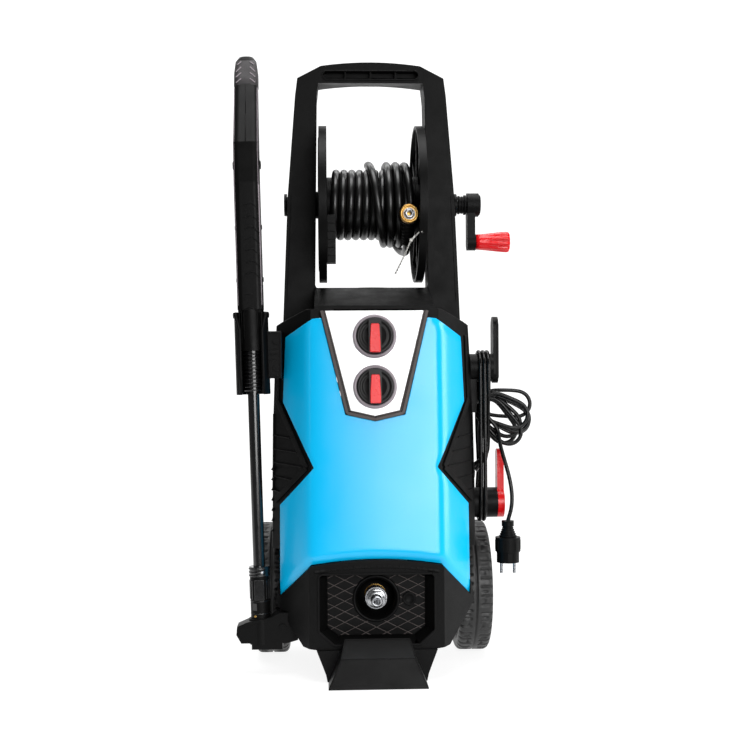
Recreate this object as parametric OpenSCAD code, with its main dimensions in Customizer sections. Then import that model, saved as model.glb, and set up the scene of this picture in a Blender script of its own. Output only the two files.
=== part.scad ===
// Upright pressure washer on two wheels, with a hose reel in the handle, a gun and lance
// on its left and a mains cord on two hooks on its right.
// Frame: +X to the machine's right as seen from the front, -Y to the front, +Z up.
// The origin is on the floor, on the machine's middle plane.

/* [Body] */
// Half the width of the body at its widest
body_half_w = 150; // [146:1:154]
// Height of the top of the body shell
body_top = 524; // [515:1:530]
// Height of the underside of the body shell
body_bottom = 44; // [42:1:46]
// Wall of the plastic shells
wall = 3; // [2:0.5:4]
// How far the front leans back, in degrees
lean = 5; // [3:0.5:6]

/* [Front cover] */
// Front face of the cover at the height of its lower edge, ahead of the origin
cover_front = 120; // [116:1:124]
// Half the width of the flat front face
cover_flat_half = 95; // [92:1:98]
// Gap between the cover and the black shell below it
cover_gap = 4; // [3:0.5:6]

/* [Handle] */
// Front face of the handle legs
handle_front = 5; // [0:1:10]
// Depth of the handle legs
handle_depth = 54; // [54:1:64]
// Height of the middle of the top bar
handle_top = 901; // [896:1:910]

/* [Hose reel] */
// Height of the reel's axis
reel_z = 690; // [685:1:695]
// Distance of the reel's axis behind the origin
reel_y = 36; // [32:1:40]
// Radius of the two flanges
flange_r = 119; // [112:1:120]
// Outer faces of the flanges, from the middle plane
flange_x = 79; // [77:0.5:79]
// Radius of the drum under the hose
drum_r = 42; // [40:1:44]
// Outer diameter of the high-pressure hose
hose_d = 12; // [11:0.5:13]
// Distance between the reel's axis and the grip's axis
crank_throw = 57; // [52:1:62]

/* [Wheels] */
// Outer radius of the tyres
wheel_r = 100; // [95:1:102]
// Inner face of each wheel, from the middle plane
wheel_x = 128; // [127:1:130]
// Width of a tyre
wheel_w = 50; // [44:1:52]
// Distance of the axle behind the origin
axle_y = 72; // [69:1:75]
// Radius of the axle
axle_r = 7; // [6:0.5:8]

/* [Knobs] */
// Height of the power knob
power_z = 484; // [482:1:486]
// Height of the pressure knob
pressure_z = 412; // [410:1:414]
// Radius of a knob's dial
knob_r = 26; // [24:0.5:26.5]
// Radius of the surround of a knob
bezel_r = 30.5; // [29:0.5:31]

/* [Gun and lance] */
// Radius of the lance tube
lance_r = 8.5; // [7:0.5:9]
// Sideways lean of the gun and lance, in degrees
lance_lean = 1.5; // [1:0.1:2]
// Half the width of the gun
gun_half_w = 18.5; // [17:0.5:19]
// Slant of the gun's grip, in degrees
grip_slant = 25; // [20:1:28]

/* [Cord storage] */
// Height of the fixed upper hook
upper_hook_z = 439; // [436:1:442]
// Height of the turning lower hook
lower_hook_z = 236; // [234:1:240]
// Radius of the upper post
upper_post_r = 21; // [19:0.5:22]
// Radius of the lower post
lower_post_r = 22.5; // [21:0.5:23]
// Diameter of the mains cord
cord_d = 6; // [6:0.5:7]

/* [Hidden] */

// Clearance of a shaft that turns in its bore, on the radius
running = 0.05;
// Gap between parts that pass each other
gap = 0.5;
// Height at which cover_front is measured
cover_base_z = 165;
// Far enough to pass right through the body
far = 400;

// Front face of the cover at height z
function face_y(z) = -cover_front + (z - cover_base_z) * tan(lean);
// A point list and its mirror image across the middle plane, as one outline
function both_sides(points) =
  concat(points, [for (i = [len(points) - 1 : -1 : 0]) [-points[i][0], points[i][1]]]);
// Points of a shallow arch from +half to -half, rise above its ends at height z
function arch(half, z, rise, steps = 12) =
  [for (i = [0 : steps]) let (x = half * (1 - 2 * i / steps)) [x, z + rise * (1 - pow(x / half, 2))]];

// Stands an outline drawn in X and Z up and gives it depth from y0 to y1
module upright(y0, y1) {
  translate([0, y1, 0]) rotate([90, 0, 0]) linear_extrude(y1 - y0) children();
}
// Lays an outline drawn in Y and Z across the machine from x0 to x1
module across(x0, x1) {
  translate([x0, 0, 0]) rotate([90, 0, 90]) linear_extrude(x1 - x0) children();
}
// Cylinder along X from x0 to x1 about the point (y, z)
module x_rod(x0, x1, y, z, r, sides = 64) {
  translate([x0, y, z]) rotate([0, 90, 0]) cylinder(h = x1 - x0, r = r, $fn = sides);
}
// Puts its children on the leaning front face at height z, with +Z pointing out of it
module on_face(z) {
  translate([0, face_y(z), z]) rotate([90 - lean, 0, 0]) children();
}
// Puts its children in the gun and lance's own frame, +Z up the lance from the nozzle's end
lance_foot = [-165, -64, 48];
module on_lance() {
  translate(lance_foot) rotate([0, -lance_lean, 0]) children();
}

// ---- Body shells ----

// Prism whose front follows the leaning face, set back by inset
module leaning_front(inset) {
  front = -cover_front + inset;
  flat_half = cover_flat_half - inset * 0.4;
  side_run = body_half_w + 20 - flat_half;
  translate([0, 0, cover_base_z]) rotate([-lean, 0, 0]) translate([0, 0, -far / 2])
    linear_extrude(far * 1.6)
      polygon(both_sides([[flat_half, front], [flat_half + side_run, front + side_run * 1.35],
                          [flat_half + side_run, far]]));
}
// Outline of the whole body from the front
module body_outline(inset) {
  polygon(both_sides([[103 - inset, body_bottom + inset], [146 - inset, 101],
                      [body_half_w - inset, 181], [149 - inset, 346], [145 - inset, 463],
                      [143 - inset, 503 - inset], [134 - inset, 508 - inset],
                      [98 - inset / 2, body_top - inset]]));
}
// Plan of the body, behind the front
module body_plan(inset) {
  polygon(both_sides([[body_half_w - inset, -far], [body_half_w - inset, 58],
                      [112 - inset, 100 - inset]]));
}
// The solid that the black shells are cut from
module body_solid(inset) {
  intersection() {
    upright(-far, far) body_outline(inset);
    linear_extrude(far * 2) body_plan(inset);
    leaning_front(inset + wall + cover_gap);
  }
}
module body_shell() {
  difference() {
    body_solid(0);
    body_solid(wall);
  }
}
// Room for the wheels, outside the inner walls
module wheel_room() {
  for (s = [-1, 1])
    x_rod(s > 0 ? 121 : -far, s > 0 ? far : -121, axle_y, wheel_r, wheel_r + 7, 96);
  for (s = [-1, 1])
    translate([s > 0 ? 121 : -far, axle_y - 20, 0]) cube([far - 121, far, wheel_r + 40]);
}
split_y = 20;
// Edge of each side frame behind the front cover
frame_inner_x = 58;
module side_frame(s) {
  color([0.10, 0.10, 0.105]) {
    difference() {
      intersection() {
        body_shell();
        translate([s > 0 ? frame_inner_x : -far, -far, 176])
          cube([far - frame_inner_x, far + split_y, far]);
      }
      wheel_room();
      // The cord leaves through the right side
      if (s > 0) x_rod(100, far, 0, gland_z, gland_r);
    }
  }
}
module left_side_frame() { side_frame(-1); }
module right_side_frame() { side_frame(1); }

module rear_housing() {
  color([0.09, 0.09, 0.095]) {
    difference() {
      union() {
        intersection() {
          body_shell();
          translate([-far, split_y, body_bottom + 6]) cube([2 * far, far, far * 2]);
        }
        // Inner walls beside the wheels, and the arches over them
        for (s = [-1, 1])
          translate([s > 0 ? 118 : -121, -31, body_bottom + 6]) cube([3, 93, 174]);
        intersection() {
          body_solid(wall);
          for (s = [-1, 1])
            x_rod(s > 0 ? 118 : -far, s > 0 ? far : -118, axle_y, wheel_r, wheel_r + 10, 96);
          translate([-far, -31, 179]) cube([2 * far, far, far]);
        }
      }
      wheel_room();
      x_rod(-far, far, axle_y, wheel_r, axle_r + 1);
      // Cooling slots in the back
      for (row = [0 : 6])
        translate([-60, 50, 330 + 22 * row]) cube([120, 100, 8]);
    }
  }
}

module lower_outline(inset) {
  polygon(both_sides([[85 - inset, body_bottom + inset], [104 - inset, body_bottom + 3 + inset],
                      [145 - inset, 101], [139 - inset, 130], [92, 174]]));
}
module lower_solid(inset) {
  intersection() {
    upright(-far, -30) lower_outline(inset);
    linear_extrude(176) polygon(both_sides([[cover_flat_half - inset, -cover_front + 1 + inset],
                      [146 - inset, -56 + inset], [146 - inset, far]]));
  }
}
// Outline of the connection pocket, drawn in X and Z
module pocket_outline(inset) {
  polygon(both_sides([[60 - inset, 50 + inset], [82 - inset, 70 + inset],
                      [82 - inset, 146 - inset], [78 - inset, 150 - inset]]));
}
pocket_floor = -94;
port_z = 111;
port_r = 29.5;
module lower_front_panel() {
  color([0.10, 0.10, 0.105]) {
    difference() {
      union() {
        difference() {
          lower_solid(0);
          lower_solid(wall);
        }
        // Tray of the pocket
        intersection() {
          upright(-far, pocket_floor + wall) pocket_outline(-wall);
          lower_solid(0);
        }
      }
      upright(-far, pocket_floor) pocket_outline(0);
      translate([0, -60, port_z]) rotate([90, 0, 0]) cylinder(h = 60, r = port_r, $fn = 64);
      // Room for the front cover, which laps over the upper edge
      difference() {
        upright(-far, -30) cover_outline(0.4);
        leaning_front(4 * wall);
      }
      // Open back and room for the wheels
      translate([-far, -32, 0]) cube([2 * far, far, far]);
      translate([-97, -90, body_bottom - 1]) cube([194, far, 8]);
      wheel_room();
    }
  }
}

// Outline of the pad behind the foot's front, in X and Z
module foot_pad_outline(inset) {
  polygon(both_sides([[85 - inset, body_bottom - inset], [78 - inset, 26], [72 - inset, 10],
                      [70 - inset, -inset]]));
}
module front_foot() {
  color([0.09, 0.09, 0.095]) {
    intersection() {
      across(-far, far) polygon([[-166, 0], [-155, 40], [-124, 60], [-124, 0]]);
      upright(-far, 0) polygon(both_sides([[69, 0], [52, 40], [46, 60]]));
    }
    difference() {
      upright(-124, -60) foot_pad_outline(0);
      upright(-112, -66) foot_pad_outline(5);
    }
  }
}

module base_plate() {
  color([0.12, 0.12, 0.125]) {
    difference() {
      union() {
        translate([-96, -89, body_bottom]) cube([192, 184, 6]);
        for (s = [-1, 1])
          translate([s * 95 - 6.5, axle_y - 18, body_bottom]) cube([13, 32, 74]);
        for (s = [-1, 1])
          translate([s * 96 - 17, axle_y - 18, body_bottom]) cube([34, 32, 6]);
      }
      x_rod(-far, far, axle_y, wheel_r, axle_r);
    }
  }
}

// ---- Front cover and control panel ----

// Outline of the cover in X and Z, with its lower edges let down by extra
module cover_outline(extra = 0) {
  polygon(concat(
    [[-78, 511], [-89, 510], [-129, 485], [-133, 390], [-88, 298], [-138 - extra, 241],
     [-138 - extra, 111 - 2 * extra], [-92, 162 - extra]],
    [for (x = [-60 : 30 : 60]) [x, 170 - extra - 8 * pow(x / 92, 2)]],
    [[92, 162 - extra], [138 + extra, 111 - 2 * extra], [138 + extra, 241], [88, 298],
     [133, 390], [129, 485], [89, 510], [78, 511]]));
}
// Outline of the control panel in X and Z, grown by grow on every side
module panel_outline(grow) {
  polygon(both_sides([[70.5 + grow, 521], [35 + grow, 379 - grow * 0.8], [0.01, 371 - grow]]));
}
// Width of the trim round the control panel
trim_w = 7;
module front_cover() {
  color([0.10, 0.62, 0.90]) {
    difference() {
      intersection() {
        upright(-far, -42) cover_outline();
        difference() {
          leaning_front(0);
          leaning_front(wall);
        }
      }
      upright(-far, 0) panel_outline(trim_w + gap);
    }
  }
}
module knob_axes() {
  for (z = [power_z, pressure_z]) on_face(z) children();
}
knob_shaft_r = 4;
knob_shaft_l = 30;
module panel_trim() {
  color([0.07, 0.07, 0.075]) {
    difference() {
      intersection() {
        upright(-far, 0) panel_outline(trim_w);
        difference() {
          leaning_front(-1.5);
          leaning_front(wall + cover_gap);
        }
      }
      difference() {
        intersection() {
          upright(-far, 0) panel_outline(0);
          on_face(430) translate([-far / 2, -far / 2, -2]) cube([far, far, 20]);
        }
        knob_axes() cylinder(h = 20, r = bezel_r, center = true, $fn = 64);
      }
      knob_axes() translate([0, 0, -2]) cylinder(h = 20, r = knob_r + gap, $fn = 64);
      knob_axes() cylinder(h = 60, r = knob_shaft_r + running, center = true, $fn = 48);
    }
    knob_axes() difference() {
      cylinder(h = 5, r = bezel_r, $fn = 64);
      translate([0, 0, -1]) cylinder(h = 7, r = knob_r + gap, $fn = 64);
    }
  }
}
module control_panel() {
  color([0.80, 0.80, 0.82]) {
    difference() {
      intersection() {
        upright(-far, 0) panel_outline(0);
        on_face(430) translate([-far / 2, -far / 2, -2]) cube([far, far, 3]);
      }
      knob_axes() cylinder(h = 20, r = bezel_r, center = true, $fn = 64);
    }
  }
}
pointer_w = 12;
pointer_l = 40;
pointer_h = 4;
knob_h = 8;
ridge_h = 9;
module knob(z) {
  color([0.06, 0.06, 0.065]) {
    on_face(z) {
      difference() {
        union() {
          translate([0, 0, -1.5]) cylinder(h = knob_h + 1.5, r = knob_r, $fn = 64);
          translate([-9, -knob_r + 2, 0]) cube([18, 2 * knob_r - 4, knob_h + ridge_h]);
          translate([0, 0, -knob_shaft_l]) cylinder(h = knob_shaft_l + 2, r = knob_shaft_r, $fn = 48);
        }
        translate([-pointer_w / 2, -knob_r + 3, knob_h + ridge_h - pointer_h])
          cube([pointer_w, pointer_l, pointer_h + 1]);
      }
    }
  }
}
module pointer(z) {
  color([0.85, 0.08, 0.08]) {
    on_face(z) translate([-pointer_w / 2, -knob_r + 3, knob_h + ridge_h - pointer_h])
      cube([pointer_w, pointer_l, pointer_h + 1]);
  }
}
module power_knob() { knob(power_z); }
module power_pointer() { pointer(power_z); }
module pressure_knob() { knob(pressure_z); }
module pressure_pointer() { pointer(pressure_z); }

// ---- Inside the body ----

motor_y = 0;
motor_r = 62;
rotor_r = 36;
motor_bottom = 182;
motor_top = 372;
shaft_r = 8;
module on_motor(z) {
  translate([0, motor_y, z]) children();
}
module switch_box() {
  color([0.85, 0.85, 0.83]) {
    difference() {
      translate([-26, -68, 440]) cube([52, 34, 66]);
      on_face(power_z) cylinder(h = 60, r = knob_shaft_r + 0.5, center = true, $fn = 48);
    }
  }
}
module capacitor() {
  color([0.75, 0.76, 0.78]) translate([88, 10, 250]) cylinder(h = 92, r = 20, $fn = 48);
}
module motor_casing() {
  color([0.55, 0.56, 0.58]) {
    on_motor(motor_bottom) difference() {
      union() {
        cylinder(h = motor_top - motor_bottom, r = motor_r, $fn = 96);
        for (a = [0 : 20 : 340])
          rotate([0, 0, a]) translate([motor_r - 2, -1.5, 10]) cube([7, 3, 160]);
      }
      translate([0, 0, 8]) cylinder(h = far, r = rotor_r + 6, $fn = 96);
      cylinder(h = 40, r = shaft_r + running, center = true, $fn = 64);
    }
  }
}
module motor_end_cap() {
  color([0.45, 0.46, 0.48]) {
    on_motor(motor_top) difference() {
      cylinder(h = 24, r = motor_r, $fn = 96);
      translate([0, 0, -1]) cylinder(h = 15, r = rotor_r + 6, $fn = 96);
      cylinder(h = 80, r = shaft_r + running, center = true, $fn = 64);
    }
  }
}
module rotor() {
  color([0.70, 0.45, 0.25]) {
    on_motor(motor_bottom + 24) cylinder(h = 140, r = rotor_r, $fn = 96);
    on_motor(160) cylinder(h = 238, r = shaft_r, $fn = 64);
  }
}
module pump_block() {
  color([0.66, 0.67, 0.69]) {
    difference() {
      translate([-48, -46, 92]) cube([96, 88, motor_bottom - 92]);
      on_motor(158) cylinder(h = 40, r = shaft_r + running, $fn = 64);
    }
  }
}
module pump_head() {
  color([0.72, 0.58, 0.30]) {
    translate([-44, -46, 54]) cube([88, 84, 38]);
    // Inlet nose, which reaches up to the port
    translate([0, -46, port_z]) rotate([90, 0, 0]) cylinder(h = 16, r = 17, $fn = 64);
    translate([-17, -62, 76]) cube([34, 16, 35]);
  }
}
fitting_y = -62;
module inlet_fitting() {
  color([0.78, 0.78, 0.80]) {
    translate([0, fitting_y, port_z]) rotate([90, 0, 0]) {
      difference() {
        union() {
          cylinder(h = 12, r = 13, $fn = 64);
          translate([0, 0, 12]) cylinder(h = 18, r = 15.5, $fn = 64);
          translate([0, 0, 30]) cylinder(h = 10, r = 11, $fn = 6);
          translate([0, 0, 40]) cylinder(h = 14, r = 7.5, $fn = 64);
        }
        translate([0, 0, 20]) cylinder(h = 60, r = 4.5, $fn = 48);
      }
    }
  }
}
module outlet_pipe() {
  color([0.35, 0.35, 0.36]) {
    translate([-78, 30, 74]) cylinder(h = 430, r = 6, $fn = 32);
    x_rod(-84, -44, 30, 74, 6, 32);
  }
}
module motor_mounts() {
  color([0.05, 0.05, 0.05]) {
    for (x = [-34, 34])
      for (y = [-32, 28])
        translate([x, y, body_bottom + 6]) cylinder(h = 4, r = 9, $fn = 48);
  }
}

// ---- Handle ----

handle_back = handle_front + handle_depth;
// The legs run down to here, where they meet the sloping shoulders of the body
leg_bottom = 500;
// Height of the top bar's upper face at the ends of its arch
arch_end_z = 895.5;
module handle_outline(inset) {
  polygon(concat(
    [[-134 + inset, leg_bottom], [-126 + inset, 697], [-114 + inset, 850],
     [-110.5 + inset, 877 - inset * 0.7]],
    [for (p = arch(75 - inset * 0.4, arch_end_z - inset, handle_top - arch_end_z)) [-p[0], p[1]]],
    [[110.5 - inset, 877 - inset * 0.7], [114 - inset, 850], [126 - inset, 697],
     [134 - inset, leg_bottom]]));
}
module handle_window(inset) {
  polygon(concat(
    arch(79 + inset, 872 + inset, 5.7),
    [[-81.5 - inset, 848], [-85.5 - inset, 566 - inset]],
    [for (p = arch(81 + inset, 557 - inset, 4.4)) [-p[0], p[1]]],
    [[85.5 + inset, 566 - inset], [81.5 + inset, 848]]));
}
hood_front = face_y(body_top) + 10;
// Side profile of the hood that joins the handle to the body
module hood_profile(inset) {
  polygon([[hood_front + inset, body_top - inset], [hood_front + inset, body_top + 5 - inset],
           [handle_front + inset, 561 - inset], [handle_back - inset, 561 - inset],
           [98 - inset, body_top + 5 - inset], [98 - inset, body_top - inset]]);
}
module handle_hood(inset) {
  intersection() {
    across(-86 + inset, 86 - inset) hood_profile(inset);
    leaning_front(inset + wall + cover_gap);
  }
}
boss_r = 22;
bush_r = 12.5;
grip_slot_half = 72;
grip_slot_z = 881.5;
grip_slot_h = 12;
module handle_frame() {
  color([0.08, 0.08, 0.085]) {
    difference() {
      union() {
        difference() {
          union() {
            upright(handle_front, handle_back) difference() {
              handle_outline(0);
              handle_window(0);
            }
            handle_hood(0);
          }
          body_solid(0);
          upright(handle_front + 4, handle_back + 1) difference() {
            handle_outline(4);
            handle_window(4);
          }
          handle_hood(4);
        }
        // Bosses that hold the reel's bushes
        for (s = [-1, 1])
          x_rod(s > 0 ? 84.5 : -126, s > 0 ? 126 : -84.5, reel_y, reel_z, boss_r);
        // Floor of the grip recess, and the underside that slopes up to the back
        translate([-grip_slot_half - 6, handle_front, 873]) cube([12 + 2 * grip_slot_half, 18, 20]);
        across(-82, 82) polygon([[handle_front, 869.5], [handle_front, 880], [handle_back, 880],
                                 [handle_back, 877.5]]);
      }
      // Grip recess with its three ribs
      difference() {
        upright(handle_front - 1, handle_front + 14) {
          translate([0, grip_slot_z])
            square([2 * grip_slot_half - grip_slot_h, grip_slot_h], center = true);
          for (s = [-1, 1])
            translate([s * (grip_slot_half - grip_slot_h / 2), grip_slot_z])
              circle(d = grip_slot_h, $fn = 32);
        }
        for (x = [-38, 0, 38]) translate([x - 1, handle_front + 3, 870]) cube([2, 20, 24]);
      }
      x_rod(-far, far, reel_y, reel_z, bush_r);
      for (s = [-1, 1])
        x_rod(s > 0 ? 70 : -84.2, s > 0 ? 84.2 : -70, reel_y, reel_z, boss_r);
    }
  }
}
module handle_rear_cover() {
  color([0.09, 0.09, 0.095]) {
    difference() {
      upright(handle_back, handle_back + 3) difference() {
        handle_outline(1);
        handle_window(1);
      }
      handle_hood(-0.05);
      translate([-far, 0, 0]) cube([2 * far, far, 562]);
    }
  }
}
shaft_end_x = 150;
reel_shaft_r = 9;
module reel_bushes() {
  color([0.20, 0.20, 0.21]) {
    for (s = [-1, 1]) difference() {
      union() {
        x_rod(s > 0 ? 80 : -128, s > 0 ? 128 : -80, reel_y, reel_z, bush_r);
        x_rod(s > 0 ? 80 : -84.2, s > 0 ? 84.2 : -80, reel_y, reel_z, 20.5);
        x_rod(s > 0 ? 128 : -132, s > 0 ? 132 : -128, reel_y, reel_z, 17);
      }
      x_rod(-far, far, reel_y, reel_z, reel_shaft_r + running);
    }
  }
}

// ---- Hose reel ----

flange_web = 3;
flange_rim = 12;
coil_left = -66;
coil_right = 62;
second_layer_left = 8;
module reel_flange(s) {
  color([0.07, 0.07, 0.075]) {
    difference() {
      union() {
        difference() {
          x_rod(s > 0 ? flange_x - flange_rim : -flange_x, s > 0 ? flange_x : flange_rim - flange_x,
                reel_y, reel_z, flange_r, 128);
          x_rod(s > 0 ? 0 : flange_web - flange_x, s > 0 ? flange_x - flange_web : 0,
                reel_y, reel_z, flange_r - 5, 128);
        }
        // Radial ribs on the hose side
        for (a = [0 : 45 : 315])
          translate([s * (flange_x - flange_web / 2), reel_y, reel_z]) rotate([a, 0, 0])
            translate([s > 0 ? -7 : 0, -2, drum_r - 4]) cube([7, 4, flange_r - drum_r + 2]);
        x_rod(s > 0 ? flange_x - 12 : -flange_x, s > 0 ? flange_x : 12 - flange_x,
              reel_y, reel_z, drum_r);
      }
      x_rod(-far, far, reel_y, reel_z, reel_shaft_r);
    }
  }
}
module left_flange() { reel_flange(-1); }
module right_flange() { reel_flange(1); }
module reel_drum() {
  color([0.09, 0.09, 0.095]) {
    difference() {
      x_rod(12 - flange_x, flange_x - 12, reel_y, reel_z, drum_r, 96);
      x_rod(-far, far, reel_y, reel_z, drum_r - 4, 96);
    }
  }
}
module reel_shaft() {
  color([0.60, 0.60, 0.62]) x_rod(-130, shaft_end_x, reel_y, reel_z, reel_shaft_r);
}
module hose_coil() {
  color([0.05, 0.05, 0.055]) {
    difference() {
      union() {
        x_rod(coil_left, coil_right, reel_y, reel_z, drum_r + hose_d, 96);
        x_rod(second_layer_left, coil_right, reel_y, reel_z, drum_r + 2 * hose_d, 96);
      }
      x_rod(-far, far, reel_y, reel_z, drum_r, 96);
    }
  }
}
// The hose's free end stands in front of the winding and faces forward
fitting_x = 53;
hose_fitting_z = 664;
fitting_front = -58;
module hose_fitting() {
  color([0.80, 0.68, 0.35]) {
    translate([fitting_x, fitting_front, hose_fitting_z]) rotate([-90, 0, 0]) difference() {
      cylinder(h = 16, r = 13, $fn = 64);
      translate([0, 0, -1]) cylinder(h = 9, r = 6, $fn = 48);
    }
  }
}
module hose_nut() {
  color([0.06, 0.06, 0.065]) {
    difference() {
      translate([fitting_x, fitting_front + 16, hose_fitting_z]) rotate([-90, 0, 0])
        cylinder(h = 24, r = 14, $fn = 64);
      x_rod(coil_left, coil_right + 20, reel_y, reel_z, drum_r + 2 * hose_d, 96);
    }
  }
}
crank_x = 148;
crank_w = 18;
module crank_arm() {
  color([0.07, 0.07, 0.075]) {
    difference() {
      union() {
        x_rod(crank_x, crank_x + crank_w, reel_y, reel_z, 18);
        x_rod(crank_x, crank_x + crank_w - 5, reel_y, reel_z - crank_throw, 13);
        translate([crank_x, reel_y - 12, reel_z - crank_throw]) cube([12, 24, crank_throw]);
        x_rod(133, crank_x, reel_y, reel_z, 12.3);
        // Pin that the grip turns on
        x_rod(crank_x, 209, reel_y, reel_z - crank_throw, 4);
      }
      x_rod(100, shaft_end_x, reel_y, reel_z, reel_shaft_r);
    }
  }
}
module crank_grip() {
  color([0.85, 0.08, 0.08]) {
    translate([crank_x + crank_w - 4, reel_y, reel_z - crank_throw]) rotate([0, 90, 0])
      difference() {
        rotate_extrude($fn = 64)
          polygon([[4 + running, 0], [11.5, 0], [15, 36], [15, 49], [13, 51], [4 + running, 51]]);
        // Finger flutes
        for (a = [0 : 45 : 315])
          rotate([0, 0, a]) translate([17.6, 0, 8]) cylinder(h = 60, r = 4, $fn = 32);
      }
  }
}
tie_points = [[68, -34, 634], [56, -50, 626], [48, -30, 606], [36, 6, 582]];
module cable_tie() {
  color([0.90, 0.90, 0.90]) {
    for (i = [0 : len(tie_points) - 2]) hull() {
      translate(tie_points[i]) sphere(r = 1.2, $fn = 16);
      translate(tie_points[i + 1]) sphere(r = 1.2, $fn = 16);
    }
  }
}

// ---- Wheels ----

rim_r = 72;
module wheel_axis(s) {
  translate([s * (wheel_x + wheel_w / 2), axle_y, wheel_r]) rotate([0, 90, 0]) children();
}
module tyre(s) {
  color([0.06, 0.06, 0.062]) {
    wheel_axis(s) rotate_extrude($fn = 128)
      polygon([[rim_r, -20], [wheel_r - 8, -wheel_w / 2], [wheel_r - 3, -wheel_w / 2 + 2],
               [wheel_r, -wheel_w / 2 + 8], [wheel_r, wheel_w / 2 - 8],
               [wheel_r - 3, wheel_w / 2 - 2], [wheel_r - 8, wheel_w / 2], [rim_r, 20]]);
  }
}
module rim(s) {
  color([0.15, 0.15, 0.155]) {
    wheel_axis(s) difference() {
      union() {
        cylinder(h = 6, r = rim_r, center = true, $fn = 128);
        difference() {
          cylinder(h = 40, r = rim_r, center = true, $fn = 128);
          cylinder(h = 50, r = rim_r - 4, center = true, $fn = 128);
        }
        cylinder(h = wheel_w - 6, r = 18, center = true, $fn = 64);
      }
      cylinder(h = wheel_w + 10, r = axle_r + running, center = true, $fn = 64);
      for (a = [0 : 60 : 300])
        rotate([0, 0, a]) translate([44, 0, 0]) cylinder(h = 20, r = 13, center = true, $fn = 48);
    }
  }
}
module left_tyre() { tyre(-1); }
module right_tyre() { tyre(1); }
module left_rim() { rim(-1); }
module right_rim() { rim(1); }
module wheel_axle() {
  color([0.70, 0.70, 0.72]) {
    x_rod(-182, 182, axle_y, wheel_r, axle_r);
    for (s = [-1, 1])
      x_rod(s > 0 ? 177 : -182, s > 0 ? 182 : -177, axle_y, wheel_r, 13);
  }
}

// ---- Gun, lance and their holders ----

holster_inner = gun_half_w + 2.5;
holster_wall = 3.5;
holster_bottom = 402;
holster_top = 520;
module gun_holster() {
  color([0.07, 0.07, 0.075]) {
    difference() {
      union() {
        on_lance() translate([0, 0, holster_bottom - lance_foot[2]])
          cylinder(h = holster_top - holster_bottom, r = holster_inner + holster_wall, $fn = 64);
        translate([-158, -72, 425]) cube([24.5, 62, 68]);
      }
      on_lance() cylinder(h = far * 2, r = holster_inner, $fn = 64);
      // The mouth, towards the front
      on_lance() translate([-15, -60, 300]) cube([30, 60, 300]);
      body_solid(0);
    }
  }
}
cup_inner = 12.5;
cup_top = 78;
module lance_cup() {
  color([0.07, 0.07, 0.075]) {
    difference() {
      union() {
        on_lance() translate([0, 0, -5]) cylinder(h = cup_top - 43, r = 17, $fn = 64);
        upright(-80, -50) polygon([[-193, 46], [-200, 58], [-199, 70], [-185, 76], [-150, 83],
                                   [-140, 89], [-112, 89], [-112, 50], [-126, 46], [-134, 46],
                                   [-134, 37], [-178, 37], [-178, 46]]);
      }
      on_lance() cylinder(h = 60, r = cup_inner, $fn = 64);
      // Room for the sleeve above the cup's rim
      on_lance() translate([0, 0, sleeve_z - 1]) cylinder(h = 60, r = 14.5, $fn = 64);
      lower_solid(0);
    }
  }
}
module holder_screws() {
  color([0.35, 0.35, 0.36]) {
    for (z = [440, 478])
      translate([-141, -72, z]) rotate([90, 0, 0]) cylinder(h = 2.5, r = 4.5, $fn = 32);
    translate([-134, -80, 69]) rotate([90, 0, 0]) cylinder(h = 2.5, r = 4.5, $fn = 32);
  }
}
// Heights along the lance from the nozzle's end
sleeve_z = 32;
collar_z = 92;
tube_z = 106;
lance_collar_z = 356;
gun_z = 417;
barrel_z = 482;
pivot_z = 688;
gun_end_z = 862;
module nozzle_tip() {
  color([0.06, 0.06, 0.065]) {
    on_lance() difference() {
      cylinder(h = sleeve_z, r = 11.4, $fn = 48);
      translate([0, 0, -1]) cylinder(h = 12, r = 5, $fn = 48);
    }
  }
}
module nozzle_sleeve() {
  color([0.08, 0.08, 0.085]) {
    on_lance() difference() {
      translate([0, 0, sleeve_z]) cylinder(h = collar_z - sleeve_z, r = 14, $fn = 48);
      translate([0, 0, sleeve_z + 20]) cylinder(h = far, r = lance_r + running, $fn = 48);
    }
  }
}
module lance_tube() {
  color([0.07, 0.07, 0.075]) {
    on_lance() {
      translate([0, 0, sleeve_z + 20.2]) cylinder(h = lance_collar_z + 40 - sleeve_z - 20.2,
                                                 r = lance_r, $fn = 48);
      translate([0, 0, collar_z + 0.3]) cylinder(h = tube_z - collar_z, r = 14.5, $fn = 48);
    }
  }
}
module lance_collar() {
  color([0.06, 0.06, 0.065]) {
    on_lance() difference() {
      union() {
        translate([0, 0, lance_collar_z]) cylinder(h = gun_z - lance_collar_z, r = 10.8, $fn = 48);
        for (i = [0 : 8])
          translate([0, 0, lance_collar_z + 2 + i * 6.7]) cylinder(h = 4, r = 12.3, $fn = 48);
      }
      cylinder(h = lance_collar_z + 40, r = lance_r, $fn = 48);
    }
  }
}
barrel_depth = 40;
grip_depth = 36;
module gun_slab(z, y, depth, half_w) {
  translate([0, y, z]) linear_extrude(1) hull()
    for (x = [-1, 1]) for (d = [-1, 1])
      translate([x * (half_w - 9), d * (depth / 2 - 9)]) circle(r = 9, $fn = 32);
}
grip_run = (gun_end_z - pivot_z) * tan(grip_slant);
trigger_pin_r = 4;
trigger_boss_r = 9;
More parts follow.
